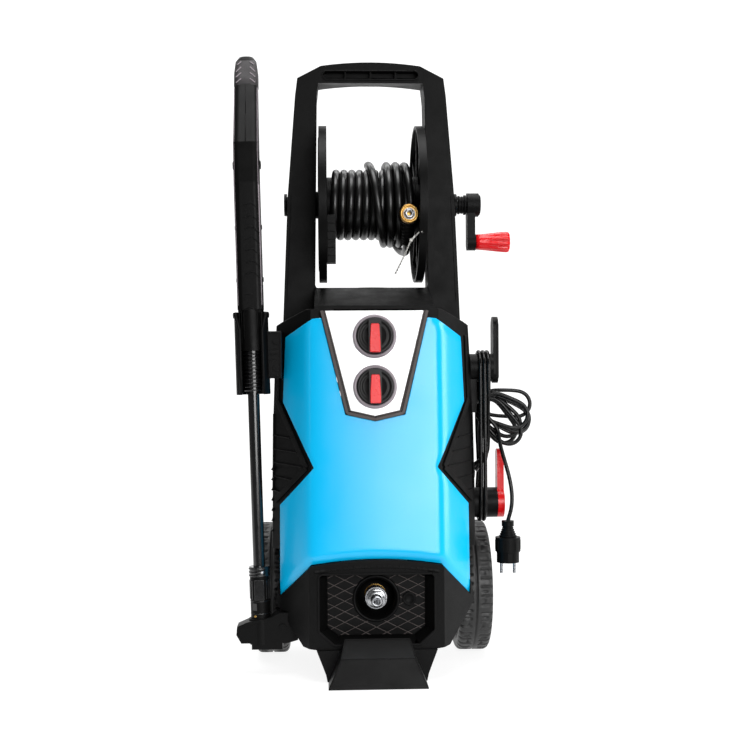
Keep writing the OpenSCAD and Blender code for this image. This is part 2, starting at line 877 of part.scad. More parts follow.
module gun_body() {
  color([0.07, 0.07, 0.075]) {
    on_lance() difference() {
      union() {
        translate([0, 0, gun_z]) cylinder(h = barrel_z - gun_z, r = gun_half_w, $fn = 64);
        hull() {
          gun_slab(barrel_z - 6, 0, gun_half_w * 2, gun_half_w);
          gun_slab(pivot_z - 30, 4, barrel_depth, gun_half_w);
        }
        hull() {
          gun_slab(pivot_z - 32, 4, barrel_depth, gun_half_w);
          gun_slab(pivot_z + 30, 16, barrel_depth, gun_half_w);
        }
        hull() {
          gun_slab(pivot_z + 28, 16, barrel_depth, gun_half_w);
          gun_slab(gun_end_z - 26, grip_run - 7, grip_depth, gun_half_w - 1.5);
          gun_slab(gun_end_z - 8, grip_run - 2, grip_depth - 8, gun_half_w - 3.5);
          gun_slab(gun_end_z - 1, grip_run, grip_depth - 16, gun_half_w - 8);
        }
      }
      // Slot that the trigger moves in, on the grip's rear side
      translate([-6, trigger_pivot[1] - 4, pivot_z - 12]) rotate([-grip_slant, 0, 0])
        cube([12, 60, 92]);
      // Room for the trigger's boss
      x_rod(-6, 6, trigger_pivot[1], trigger_pivot[2], trigger_boss_r + 1, 48);
    }
    on_lance() x_rod(-gun_half_w - 2, gun_half_w + 2, trigger_pivot[1], trigger_pivot[2],
      trigger_pin_r, 48);
  }
}
trigger_pivot = [0, 14, pivot_z];
trigger_len = 92;
module trigger() {
  color([0.06, 0.06, 0.065]) {
    on_lance() difference() {
      union() {
        x_rod(-5.5, 5.5, trigger_pivot[1], trigger_pivot[2], trigger_boss_r, 48);
        hull() {
          x_rod(-5.5, 5.5, trigger_pivot[1] + 5, trigger_pivot[2] - 2, 6, 32);
          x_rod(-5.5, 5.5, trigger_pivot[1] + 34, trigger_pivot[2] + 4, 6, 32);
        }
        hull() {
          x_rod(-5.5, 5.5, trigger_pivot[1] + 34, trigger_pivot[2] + 4, 6, 32);
          x_rod(-5.5, 5.5, trigger_pivot[1] + 72, trigger_pivot[2] + trigger_len - 20, 5, 32);
        }
      }
      x_rod(-far, far, trigger_pivot[1], trigger_pivot[2], trigger_pin_r + running, 48);
    }
  }
}

// ---- Cord storage on the right ----

hook_x = 146;
ring_x0 = 158;
ring_x1 = 175;
module upper_hook() {
  color([0.07, 0.07, 0.075]) {
    difference() {
      union() {
        x_rod(hook_x, 181, 0, upper_hook_z, upper_post_r);
        translate([181, -15, upper_hook_z - 8]) cube([8, 30, 70]);
        x_rod(181, 189, 0, upper_hook_z - 8, 15);
        x_rod(181, 189, 0, upper_hook_z + 62, 15);
        translate([hook_x, -14, 372]) cube([10, 28, 50]);
      }
      body_solid(0);
    }
  }
}
arm_x = 186.3;
arm_w = 10;
pivot_pin_r = 6;
module lower_hook_post() {
  color([0.07, 0.07, 0.075]) {
    difference() {
      x_rod(hook_x, 186, 0, lower_hook_z, lower_post_r);
      body_solid(0);
    }
    x_rod(185, arm_x + 6, 0, lower_hook_z, pivot_pin_r);
  }
}
arm_tip_z = lower_hook_z + 70;
module lower_hook_arm() {
  color([0.85, 0.06, 0.08]) {
    difference() {
      union() {
        x_rod(arm_x, arm_x + arm_w, 0, lower_hook_z, lower_post_r);
        translate([arm_x, -11, lower_hook_z]) cube([arm_w, 22, arm_tip_z - lower_hook_z]);
        x_rod(arm_x, arm_x + arm_w, 0, arm_tip_z, 11);
      }
      x_rod(arm_x - 1, arm_x + 6.3, 0, lower_hook_z, pivot_pin_r + running);
    }
  }
}
gland_z = 284;
gland_r = 8;
relief_l = 20;
module cord_gland() {
  color([0.05, 0.05, 0.055]) {
    x_rod(136, body_half_w, 0, gland_z, gland_r);
    x_rod(body_half_w, body_half_w + 3, 0, gland_z, gland_r + 3);
    // Strain relief, which turns the cord upwards
    translate([body_half_w + 2, 0, gland_z + 3]) rotate([0, 45, 0])
      cylinder(h = relief_l, r1 = 7, r2 = 4.2, $fn = 48);
  }
}

// Routes of the two stretches that hang free, chosen by hand in round numbers
lead_route = [
  [166, 0, 301], [169, 0, 304], [171, 0, 308], [173, -1, 313], [174, -2, 320],
  [174, -4, 329], [173, -7, 339], [171, -11, 350], [169, -14, 360], [168, -17, 369],
  [168, -18.5, 378]
];
tail_route = [
  [188, -16, 344], [188, -20, 335], [189, -25, 324], [192, -30, 310], [196, -34, 295],
  [200, -37, 279], [203, -40, 262], [204, -41, 247], [203, -42, 233], [200, -42, 221],
  [197, -42, 213]
];
// Direction of a route at point i
function heading(route, i) =
  let (a = route[max(i - 1, 0)], b = route[min(i + 1, len(route) - 1)]) (b - a) / norm(b - a);
// One ring of points round a route, square to it
function ring(route, i, r, sides) =
  let (d = heading(route, i), u0 = cross(d, [0, 1, 0.2]), u = u0 / norm(u0), v = cross(d, u))
  [for (k = [0 : sides - 1]) route[i] + r * (cos(360 * k / sides) * u + sin(360 * k / sides) * v)];
module swept_tube(route, r, sides = 10) {
  count = len(route);
  points = [for (i = [0 : count - 1]) each ring(route, i, r, sides)];
  sides_of_tube = [for (i = [0 : count - 2]) for (k = [0 : sides - 1])
    [i * sides + k, i * sides + (k + 1) % sides, (i + 1) * sides + (k + 1) % sides,
     (i + 1) * sides + k]];
  start_cap = [[for (k = [sides - 1 : -1 : 0]) k]];
  end_cap = [[for (k = [0 : sides - 1]) (count - 1) * sides + k]];
  polyhedron(points, concat(sides_of_tube, start_cap, end_cap));
}
module cord_lead() {
  color([0.05, 0.05, 0.055]) swept_tube(lead_route, cord_d / 2);
}
module cord_tail() {
  color([0.05, 0.05, 0.055]) swept_tube(tail_route, cord_d / 2);
}
// Outline of the turns round both posts, in Y and Z
module turns_outline(extra) {
  translate([0, upper_hook_z]) circle(r = upper_post_r + extra, $fn = 64);
  translate([0, lower_hook_z]) circle(r = lower_post_r + extra, $fn = 64);
  polygon([[-upper_post_r - extra, upper_hook_z], [-lower_post_r - extra, lower_hook_z],
           [lower_post_r + extra, lower_hook_z], [upper_post_r + extra, upper_hook_z]]);
}
module cord_winding() {
  color([0.05, 0.05, 0.055]) {
    across(ring_x0, ring_x1) difference() {
      turns_outline(cord_d * 1.6);
      turns_outline(0.1);
    }
  }
}
module cord_bundle() {
  color([0.05, 0.05, 0.055]) {
    upright(-26, 18) polygon([[ring_x1, 398], [196, 402], [232, 407], [240, 404], [243, 396],
                              [241, 378], [228, 356], [219, 336], [212, 328], [204, 326],
                              [192, 340], [ring_x1, 366]]);
  }
}
plug_x = 197;
plug_y = -42;
module plug_body() {
  color([0.05, 0.05, 0.055]) {
    translate([plug_x, plug_y, 0]) {
      translate([0, 0, 205]) cylinder(h = 8, r = 9, $fn = 48);
      translate([0, 0, 189]) cylinder(h = 16, r1 = 12, r2 = 7, $fn = 48);
      translate([0, 0, 168]) cylinder(h = 21, r = 18.5, $fn = 64);
      translate([0, 0, 152]) cylinder(h = 16, r = 16.5, $fn = 64);
    }
  }
}
module plug_pins() {
  color([0.80, 0.78, 0.72]) {
    for (x = [-9.5, 9.5])
      translate([plug_x + x, plug_y, 136]) cylinder(h = 18, r = 2.4, $fn = 32);
  }
}

front_cover();
control_panel();
panel_trim();
left_side_frame();
right_side_frame();
rear_housing();
lower_front_panel();
front_foot();
base_plate();
handle_frame();
handle_rear_cover();
reel_bushes();
power_knob();
power_pointer();
pressure_knob();
pressure_pointer();
switch_box();
capacitor();
motor_casing();
motor_end_cap();
rotor();
pump_block();
pump_head();
inlet_fitting();
outlet_pipe();
motor_mounts();
gun_holster();
lance_cup();
holder_screws();
gun_body();
trigger();
lance_collar();
lance_tube();
nozzle_sleeve();
nozzle_tip();
left_tyre();
left_rim();
right_tyre();
right_rim();
wheel_axle();
reel_drum();
left_flange();
right_flange();
reel_shaft();
hose_coil();
hose_fitting();
hose_nut();
crank_arm();
crank_grip();
cable_tie();
upper_hook();
lower_hook_post();
lower_hook_arm();
cord_gland();
cord_lead();
cord_winding();
cord_bundle();
cord_tail();
plug_body();
plug_pins();
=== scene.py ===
"""Pressure washer: cords, detailed pieces, materials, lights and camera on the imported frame."""
import math

import bmesh
import bpy
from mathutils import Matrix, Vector
from mathutils.geometry import delaunay_2d_cdt


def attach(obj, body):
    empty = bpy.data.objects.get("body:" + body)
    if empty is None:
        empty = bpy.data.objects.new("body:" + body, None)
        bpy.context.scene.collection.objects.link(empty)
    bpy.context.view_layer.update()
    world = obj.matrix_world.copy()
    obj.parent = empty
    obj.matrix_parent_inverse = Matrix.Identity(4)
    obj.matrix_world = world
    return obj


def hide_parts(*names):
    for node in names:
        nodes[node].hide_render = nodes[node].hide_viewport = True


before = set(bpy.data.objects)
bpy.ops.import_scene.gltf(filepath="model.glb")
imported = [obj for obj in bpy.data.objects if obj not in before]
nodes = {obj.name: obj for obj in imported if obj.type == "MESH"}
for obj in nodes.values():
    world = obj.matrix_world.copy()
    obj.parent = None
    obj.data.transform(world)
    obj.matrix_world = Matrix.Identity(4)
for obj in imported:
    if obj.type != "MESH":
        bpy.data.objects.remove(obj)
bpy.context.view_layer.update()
MM = 0.001
# Ways that a piece faces or turns about
FRONT, BACK, RIGHT, UP = (0, -1, 0), (0, 1, 0), (1, 0, 0), (0, 0, 1)


def linked(name, data):
    """A new object in the scene."""
    made = bpy.data.objects.new(name, data)
    bpy.context.scene.collection.objects.link(made)
    return made


# ---- Camera ----

camera = linked("camera", bpy.data.cameras.new("camera"))
camera.data.lens = 55.8
camera.data.sensor_width = 36
camera.data.clip_end = 30
camera.location = (-0.0672, -1.7487, 0.429)
camera.rotation_euler = (math.radians(90), math.radians(0.35), math.radians(-2.33))
bpy.context.scene.camera = camera


# ---- Materials ----

def linear(r, g, b):
    """A display colour from 0 to 255, as the linear colour that shaders take."""
    return tuple(((c / 255 + 0.055) / 1.055) ** 2.4 if c > 10 else c / 255 / 12.92
                 for c in (r, g, b)) + (1.0,)


class Graph:
    """Short names for building a material's nodes."""

    def __init__(self, name):
        self.material = bpy.data.materials.new(name)
        self.material.use_nodes = True
        self.tree = self.material.node_tree
        self.shader = self.tree.nodes["Principled BSDF"]
        self.coords = self.tree.nodes.new("ShaderNodeTexCoord").outputs["Object"]

    def node(self, kind, inputs=None, **settings):
        made = self.tree.nodes.new(kind)
        for key, value in settings.items():
            setattr(made, key, value)
        for key, value in (inputs or {}).items():
            if isinstance(value, bpy.types.NodeSocket):
                self.tree.links.new(value, made.inputs[key])
            else:
                made.inputs[key].default_value = value
        return made

    def noise(self, scale, detail=2.0, rough=0.5, vector=None):
        return self.node("ShaderNodeTexNoise", {
            "Vector": vector or self.coords, "Scale": scale, "Detail": detail,
            "Roughness": rough}).outputs["Fac"]

    def stretched(self, sx, sy, sz):
        return self.node("ShaderNodeMapping", {
            "Vector": self.coords, "Scale": (sx, sy, sz)}).outputs["Vector"]

    def spread(self, value, low, high, start=0.3, end=0.7):
        return self.node("ShaderNodeMapRange", {
            "Value": value, "From Min": start, "From Max": end, "To Min": low,
            "To Max": high}).outputs["Result"]

    def mix(self, factor, one, two):
        made = self.node("ShaderNodeMix", data_type="RGBA")
        for index, value in ((0, factor), (6, one), (7, two)):
            if isinstance(value, bpy.types.NodeSocket):
                self.tree.links.new(value, made.inputs[index])
            else:
                made.inputs[index].default_value = value
        return made.outputs[2]

    def bump(self, height, strength, distance, under=None):
        inputs = {"Height": height, "Strength": strength, "Distance": distance}
        if under:
            inputs["Normal"] = under
        return self.node("ShaderNodeBump", inputs).outputs["Normal"]

    def put(self, socket, value):
        if isinstance(value, bpy.types.NodeSocket):
            self.tree.links.new(value, self.shader.inputs[socket])
        else:
            self.shader.inputs[socket].default_value = value


def moulded(name, dark, light, rough=(0.35, 0.5), grain=1400, grain_depth=0.00012,
            patches=9, coat=0.0, specular=0.5):
    """Moulded plastic: slow tone patches, fine erosion grain and uneven gloss."""
    g = Graph(name)
    slow = g.noise(patches, 4.0, 0.6)
    fine = g.noise(grain, 2.0, 0.6)
    smudge = g.noise(patches * 5, 5.0, 0.65)
    g.put("Base Color", g.mix(g.spread(slow, 0, 1), linear(*dark), linear(*light)))
    g.put("Roughness", g.spread(smudge, rough[0], rough[1]))
    g.put("Specular IOR Level", specular)
    g.put("Normal", g.bump(fine, 0.5, grain_depth))
    if coat:
        g.put("Coat Weight", coat)
        g.put("Coat Roughness", 0.12)
    return g.material


def metal(name, dark, light, rough=(0.2, 0.4), brush=(30, 30, 900)):
    """Bare metal with turned or brushed lines and tarnish patches."""
    g = Graph(name)
    lines = g.noise(1.0, 3.0, 0.6, g.stretched(*brush))
    patches = g.noise(60, 4.0, 0.6)
    g.put("Base Color", g.mix(g.spread(patches, 0, 1), linear(*dark), linear(*light)))
    g.put("Metallic", 1.0)
    g.put("Roughness", g.spread(lines, rough[0], rough[1]))
    g.put("Normal", g.bump(lines, 0.25, 0.0001))
    return g.material


def blue_paint():
    g = Graph("cover_blue")
    slow = g.noise(3.0, 3.0, 0.5)
    peel = g.noise(260, 2.0, 0.5)
    dust = g.noise(900, 2.0, 0.7)
    g.put("Base Color", g.mix(g.spread(slow, 0, 1), linear(0, 182, 238), linear(2, 188, 243)))
    g.put("Roughness", g.spread(g.noise(14, 5.0, 0.6), 0.18, 0.27))
    g.put("Normal", g.bump(dust, 0.2, 0.00003, g.bump(peel, 0.1, 0.00006)))
    g.put("Specular IOR Level", 0.5)
    return g.material


def silver_paint():
    g = Graph("panel_silver")
    flakes = g.node("ShaderNodeTexVoronoi", {"Vector": g.coords, "Scale": 1600.0})
    slow = g.noise(8.0, 3.0, 0.5)
    g.put("Base Color", g.mix(g.spread(slow, 0, 1), linear(236, 237, 239), linear(247, 247, 248)))
    g.put("Metallic", 0.25)
    g.put("Roughness", g.spread(g.noise(30, 4.0, 0.6), 0.26, 0.38))
    g.put("Normal", g.bump(flakes.outputs["Distance"], 0.12, 0.00006))
    return g.material


def rubber(name, dark, light, rough=(0.62, 0.8), specular=0.5):
    g = Graph(name)
    bloom = g.noise(22, 6.0, 0.7)
    pores = g.node("ShaderNodeTexVoronoi", {"Vector": g.coords, "Scale": 1100.0})
    g.put("Base Color", g.mix(g.spread(bloom, 0, 1), linear(*dark), linear(*light)))
    g.put("Roughness", g.spread(g.noise(90, 4.0, 0.6), rough[0], rough[1]))
    g.put("Normal", g.bump(pores.outputs["Distance"], 0.35, 0.00015))
    g.put("Specular IOR Level", specular)
    return g.material


def hose_skin():
    """Satin black hose: faint scuffs over a smooth jacket."""
    g = Graph("hose_skin")
    scuff = g.noise(40, 6.0, 0.7)
    weave = g.noise(700, 2.0, 0.5)
    g.put("Base Color", g.mix(g.spread(scuff, 0, 1), linear(5, 5, 5), linear(10, 10, 10)))
    g.put("Roughness", g.spread(g.noise(120, 5.0, 0.7), 0.24, 0.42))
    g.put("Normal", g.bump(weave, 0.3, 0.00008))
    return g.material


BLACK = moulded("shell_black", (7, 7, 7), (11, 11, 11), (0.42, 0.56), grain=900,
                grain_depth=0.0003, specular=0.1)
FINE_BLACK = moulded("panel_black", (6, 6, 6), (9, 9, 9), (0.36, 0.48), grain=1500,
                     grain_depth=0.0002, specular=0.1)
GLOSS_BLACK = moulded("gloss_black", (10, 10, 11), (16, 16, 17), (0.16, 0.26), grain=2500,
                      grain_depth=0.00002, coat=0.3)
ROUGH_BLACK = moulded("grip_black", (34, 31, 33), (44, 41, 43), (0.55, 0.7), grain=420,
                      grain_depth=0.0006)
RED = moulded("red_plastic", (206, 10, 18), (230, 18, 26), (0.22, 0.34), grain=1800,
              grain_depth=0.00006, specular=0.4)
KNOB = moulded("knob_black", (14, 13, 13), (21, 20, 20), (0.4, 0.5), grain=1300,
               grain_depth=0.0001, specular=0.3)
# Grey trim; on the pocket's diamond lines this grey is painted highlight
BAND_GREY = moulded("trim_grey", (66, 60, 58), (82, 75, 73), (0.45, 0.58), grain=1100,
                    grain_depth=0.0001, specular=0.3)
# Mauve grey; on the knob surrounds it is a painted reflection on silver rings
MAUVE = moulded("bezel_grey", (120, 112, 118), (150, 140, 146), (0.3, 0.42), grain=2000,
                grain_depth=0.00005)
GREY_BOX = moulded("box_grey", (150, 150, 148), (168, 168, 165), (0.45, 0.6))
TIE_WHITE = moulded("tie_white", (214, 212, 206), (236, 235, 230), (0.35, 0.5), grain=600,
                    grain_depth=0.0002)
BLUE = blue_paint()
SILVER = silver_paint()
TYRE = rubber("tyre_rubber", (18, 18, 18), (30, 30, 30), (0.42, 0.56))
CORD = rubber("cord_skin", (6, 6, 6), (10, 10, 10), (0.2, 0.3), specular=0.28)
MOUNT = rubber("mount_rubber", (12, 12, 12), (22, 22, 22))
HOSE = hose_skin()
STEEL = metal("steel", (150, 152, 156), (205, 206, 208), (0.18, 0.36))
DARK_STEEL = metal("dark_steel", (70, 70, 72), (98, 98, 100), (0.3, 0.48))
BRASS = metal("brass", (164, 122, 62), (206, 168, 98), (0.22, 0.4), brush=(900, 60, 60))
ALLOY = metal("cast_alloy", (128, 130, 134), (160, 162, 165), (0.42, 0.6), brush=(300, 300, 300))
COPPER = metal("copper_winding", (150, 82, 44), (196, 112, 62), (0.3, 0.46), brush=(30, 30, 1400))

NODE_LOOKS = (
    (BLUE, {"front_cover": 0.8}),
    (SILVER, {"control_panel": 0.5}),
    (FINE_BLACK, {"panel_trim": 0.6, "lower_front_panel": 1.6, "front_foot": 2.0,
                  "reel_bushes": 0.6, "gun_holster": 1.2, "lance_cup": 1.4, "holder_screws": 0.5,
                  "gun_body": 2.0, "nozzle_sleeve": 1.2, "reel_drum": 0.6, "left_flange": 0.8,
                  "right_flange": 0.8, "hose_nut": 1.0, "upper_hook": 1.6, "lower_hook_post": 1.2,
                  "plug_body": 1.2}),
    (BLACK, {"left_side_frame": 1.6, "right_side_frame": 1.6, "rear_housing": 1.6,
             "base_plate": 1.0, "handle_frame": 2.4, "handle_rear_cover": 1.2, "left_rim": 1.0,
             "right_rim": 1.0, "crank_arm": 1.4}),
    (KNOB, {"power_knob": 1.0, "pressure_knob": 1.0}),
    (RED, {"power_pointer": 1.0, "pressure_pointer": 1.0, "crank_grip": 1.2,
           "lower_hook_arm": 2.0}),
    (GREY_BOX, {"switch_box": 0.8}),
    (ALLOY, {"capacitor": 1.5, "motor_casing": 0.6, "motor_end_cap": 1.0, "pump_block": 2.0}),
    (COPPER, {"rotor": 0.8}),
    (BRASS, {"pump_head": 1.5, "hose_fitting": 0.6}),
    (STEEL, {"inlet_fitting": 0.6, "wheel_axle": 0.8, "reel_shaft": 0.6, "plug_pins": 0.6}),
    (DARK_STEEL, {"outlet_pipe": 0.0}),
    (MOUNT, {"motor_mounts": 0.6}),
    (GLOSS_BLACK, {"trigger": 1.2, "lance_collar": 0.8, "lance_tube": 0.8, "nozzle_tip": 1.0}),
    (TYRE, {"left_tyre": 1.5, "right_tyre": 1.5}),
    (HOSE, {"hose_coil": 1.0}),
    (TIE_WHITE, {"cable_tie": 0.0}),
    (CORD, {"cord_gland": 0.8, "cord_lead": 0.0, "cord_winding": 0.0, "cord_bundle": 0.0,
            "cord_tail": 0.0}),
)


def shade_smooth(mesh):
    for face in mesh.polygons:
        face.use_smooth = True


def rounded(piece, width, segments=3, angle=32):
    """Softens a piece's edges as a mould does, and shades it smoothly between them."""
    shade_smooth(piece.data)
    weld = piece.modifiers.new("weld", "WELD")
    weld.merge_threshold = 0.00002
    if width:
        bevel = piece.modifiers.new("edges", "BEVEL")
        bevel.width = width * MM
        bevel.segments = segments
        bevel.limit_method = "ANGLE"
        bevel.angle_limit = math.radians(angle)
        bevel.use_clamp_overlap = True
        bevel.harden_normals = True
    normals = piece.modifiers.new("normals", "WEIGHTED_NORMAL")
    normals.keep_sharp = True
    return piece


for look, edges in NODE_LOOKS:
    for name, edge in edges.items():
        part = nodes[name]
        part.data.materials.clear()
        part.data.materials.append(look)
        rounded(part, edge)


# ---- Building pieces ----

class Shape:
    """Collects vertices and faces of one piece from simple solids, all in millimetres."""

    def __init__(self):
        self.verts = []
        self.faces = []

    def add(self, verts, faces):
        start = len(self.verts)
        self.verts += [Vector(v) * MM for v in verts]
        self.faces += [tuple(start + i for i in face) for face in faces]

    def rings(self, rings, closed=False, caps=True):
        """Joins rings of equal length into a skin."""
        count = len(rings[0])
        faces = []
        for i in range(len(rings) if closed else len(rings) - 1):
            a, b = i * count, ((i + 1) % len(rings)) * count
            faces += [(a + k, a + (k + 1) % count, b + (k + 1) % count, b + k)
                      for k in range(count)]
        if caps and not closed:
            faces += [tuple(range(count - 1, -1, -1)),
                      tuple((len(rings) - 1) * count + k for k in range(count))]
        self.add([p for ring in rings for p in ring], faces)

    def lathe(self, profile, origin, axis, sides=64):
        """Turns (radius, height) pairs about an axis through origin."""
        turn = Vector(axis).to_track_quat("Z", "Y").to_matrix()
        origin = Vector(origin)
        self.rings([[origin + turn @ Vector((r * math.cos(2 * math.pi * k / sides),
                                             r * math.sin(2 * math.pi * k / sides), h))
                     for k in range(sides)] for r, h in profile], caps=False)

    def bar(self, start, end, width, height, up):
        """A straight bar of rectangular section."""
        start, end, up = Vector(start), Vector(end), Vector(up)
        along = (end - start).normalized()
        side = along.cross(up).normalized() * width / 2
        top = side.cross(along).normalized() * height / 2
        self.rings([[p + side + top, p - side + top, p - side - top, p + side - top]
                    for p in (start, end)])

    def tube(self, path, radius, sides=10):
        """A round tube through the points of path."""
        rings = []
        side = None
        for i, point in enumerate(path):
            ahead = Vector(path[min(i + 1, len(path) - 1)]) - Vector(path[max(i - 1, 0)])
            ahead.normalize()
            if side is None:
                side = ahead.orthogonal().normalized()
            side = (side - ahead * side.dot(ahead)).normalized()
            other = ahead.cross(side)
            size = radius[i] if isinstance(radius, list) else radius
            rings.append([Vector(point) + size * (math.cos(a) * side + math.sin(a) * other)
                          for a in (2 * math.pi * k / sides for k in range(sides))])
        self.rings(rings)

    def prism(self, outline, lift):
        """Extrudes a flat outline of 3D points by the vector lift."""
        lift = Vector(lift)
        self.rings([[Vector(p) for p in outline], [Vector(p) + lift for p in outline]])

    def run(self, path, width, height, up):
        """Bars from point to point of a path."""
        for a, b in zip(path, path[1:]):
            self.bar(a, b, width, height, up)

    def knurl(self, count, start, end, radius, width, height):
        """Ribs side by side round the line from start to end."""
        start, end = Vector(start), Vector(end)
        across = Vector(RIGHT)
        other = (end - start).normalized().cross(across)
        for k in range(count):
            a = 2 * math.pi * k / count
            u = across * math.cos(a) + other * math.sin(a)
            self.bar(start + u * radius, end + u * radius, width, height, u)

    def made(self, name, body, look, slot, edge=0.0):
        """Makes the piece, with its faces outwards, riding on a body."""
        mesh = bpy.data.meshes.new(name)
        mesh.from_pydata([tuple(v) for v in self.verts], [], self.faces)
        mesh.materials.append(look)
        made = linked(name, mesh)
        tidy = bmesh.new()
        tidy.from_mesh(mesh)
        bmesh.ops.recalc_face_normals(tidy, faces=tidy.faces)
        tidy.to_mesh(mesh)
        tidy.free()
        if edge:
            rounded(made, edge)
        else:
            shade_smooth(mesh)
        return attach(made, body)


def curve(name, points, diameter, look, body):
    """One smooth open spline with a round section, led by points in millimetres."""
    data = bpy.data.curves.new(name, "CURVE")
    data.dimensions = "3D"
    data.resolution_u = 4
    data.bevel_depth = diameter * MM / 2
    data.bevel_resolution = 4
    data.use_fill_caps = True
    spline = data.splines.new("NURBS")
    spline.points.add(len(points) - 1)
    for target, point in zip(spline.points, points):
        target.co = (point[0] * MM, point[1] * MM, point[2] * MM, 1.0)
    spline.order_u = 4
    spline.use_endpoint_u = True
    data.materials.append(look)
    made = linked(name, data)
    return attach(made, body)


# ---- Cords ----

# Routes of the two free stretches: up from the strain relief, and down to the plug
LEAD_ROUTE = [(166, 0, 301), (169, 0, 304), (171, 0, 308), (173, -1, 313), (174, -2, 320),
              (174, -4, 329), (174, -7, 339), (173.5, -11, 350), (173, -14, 360), (172.5, -17, 369),
              (172, -18.5, 378)]
TAIL_ROUTE = [(188, -16, 344), (188, -20, 335), (189, -25, 324), (192, -30, 310),
              (196, -34, 295), (200, -37, 279), (203, -40, 262), (204, -41, 247), (203, -42, 233),
              (200, -42, 221), (197, -42, 213)]
CORD_D = 6
HOSE_D = 12
REEL_Y, REEL_Z = 36, 690
CRANK_PIN_Z = 633
FITTING_X, FITTING_Z = 53, 664
PLUG_X, PLUG_Y = 197, -42
CORD_GAP = 3.3
# Height and radius of the two posts that the cord is wound on
UPPER_POST, LOWER_POST = (439, 21), (236, 22.5)


def post_turn(x, turns=1.0):
    """Points of a cord that runs round both posts, from the front of the upper post upwards."""
    (upper_z, upper_r), (lower_z, lower_r) = UPPER_POST, LOWER_POST
    upper_r += CORD_GAP
    lower_r += CORD_GAP
    half_turn = [math.pi * k / 12 for k in range(13)]
    straight = [k / 8 for k in range(1, 8)]
    loop = [(-upper_r * math.cos(a), upper_z + upper_r * math.sin(a)) for a in half_turn]
    loop += [(upper_r * (1 - t) + lower_r * t, upper_z + (lower_z - upper_z) * t) for t in straight]
    loop += [(lower_r * math.cos(a), lower_z - lower_r * math.sin(a)) for a in half_turn]
    loop += [(-lower_r * (1 - t) - upper_r * t, lower_z + (upper_z - lower_z) * t) for t in straight]
    return [(x, *loop[i % len(loop)]) for i in range(int(len(loop) * turns) + 1)]


def smooth_step(t):
    t = max(0.0, min(1.0, t))
    return t * t * (3 - 2 * t)


def hank_loop(t, long, half):
    """How far along and across a long narrow loop its path is at t of the way round."""
    if t > 0.5:
        u, v = hank_loop(1 - t, long, half)
        return u, -v
    bend, straight = math.pi * half / 2, long - 2 * half
    walk = 2 * t * (2 * bend + straight)
    if walk < bend:
        return half - half * math.cos(walk / half), -half * math.sin(walk / half)
    if walk < bend + straight:
        return half + walk - bend, -half
    a = (walk - bend - straight) / half
    return long - half + half * math.sin(a), -half * math.cos(a)


def mains_cord():
    """Strain relief, up into the turns round both posts, a hank of loops, then down to the plug."""
    route = list(LEAD_ROUTE)
    route += [(172.2, -21.5, 392), (172.6, -24, 412)]
    for i, (x, y, z) in enumerate(post_turn(172.7)):
        route.append((x - 12.4 * smooth_step((i - 13) / 7), y, z))
    for i, (x, y, z) in enumerate(post_turn(160.3)[1:]):
        route.append((x + 6.2 * smooth_step((i - 13) / 8), y, z))
    route += post_turn(166.5, turns=12 / 40)[1:]
    route += [(165, 23, 425), (163.6, 17.5, 407)]
    # The spare length: loops through the turns that fan out to the right
    tilts = [-4, -28, -52, -40, -26, -48, -22, -8]
    for n, (tilt, after) in enumerate(zip(tilts, tilts[1:])):
        before = tilts[n - 1]
        for k in range(16):
            t = k / 16
            turned = tilt
            if t > 0.7:
                turned += (after - tilt) * smooth_step((t - 0.7) / 0.6)
            elif n and t < 0.3:
                turned += (before - tilt) * (1 - smooth_step((t + 0.3) / 0.6))
            angle = math.radians(turned)
            u, v = hank_loop(t, 77 + 5 * math.sin(1.7 * n), 20 + 0.8 * math.sin(2.3 * n))
            x = 163 + u * math.cos(angle) - v * math.sin(angle)
            route.append((x, 9 - 3.3 * (n + t) - 5 * smooth_step((x - 165) / 50),
                          388 + u * math.sin(angle) + v * math.cos(angle)))
    route += [(162.8, -14.5, 379), (166.2, -14.8, 370), (174, -15.2, 363), (181.5, -15.6, 355)]
    route += TAIL_ROUTE
    route.append((PLUG_X, PLUG_Y, 208))
    return curve("mains_cord", route, CORD_D, CORD, "root")


def pressure_hose():
    """First layer, about three turns back on top of it, then across and up to the fitting."""
    step = 18
    shrink = (2 + math.cos(math.radians(step))) / 3
    # Angle round the reel, place along it and radius of the winding, from start to end
    plan = [(5202, -60.5, 48), (1530, 60.5, 48), (1440, 58, 56), (1350, 50.5, 59.6),
            (990, 37.0, 59.6), (630, 23.2, 59.6), (450, 20, 59.6), (270, -5, 60), (225, 6, 66),
            (180, 24, 71.5), (90, 53, 72)]
    route = []
    angle = 5202
    while angle >= 90:
        for (a0, x0, r0), (a1, x1, r1) in zip(plan, plan[1:]):
            if a1 <= angle <= a0:
                t = (a0 - angle) / (a0 - a1)
                x, r = x0 + (x1 - x0) * t, r0 + (r1 - r0) * t
        a = math.radians(angle)
        x += 0.25 * math.sin(angle * 0.021)
        route.append((x, REEL_Y - r / shrink * math.cos(a), REEL_Z - r / shrink * math.sin(a)))
        angle -= step
    route += [(53, 24, 618.6), (53, 10, 622.2), (53, -3, 628.5), (53, -14, 637), (53, -23, 647.5),
              (53, -29.5, 659)]
    return curve("pressure_hose", route, HOSE_D, HOSE, "reel")


cord = mains_cord()
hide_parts("cord_lead", "cord_winding", "cord_bundle", "cord_tail")
hose = pressure_hose()
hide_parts("hose_coil")


# ---- Front cover ----

LEAN = math.tan(math.radians(5))
FACE_OUT = Vector((0, -1, LEAN)).normalized()
KNOBS = (("power", 484), ("pressure", 412))


def face_y(z):
    """Front of the cover at height z, in millimetres."""
    return -120 + (z - 165) * LEAN


def both(points):
    return points + [(-x, z) for x, z in reversed(points)]


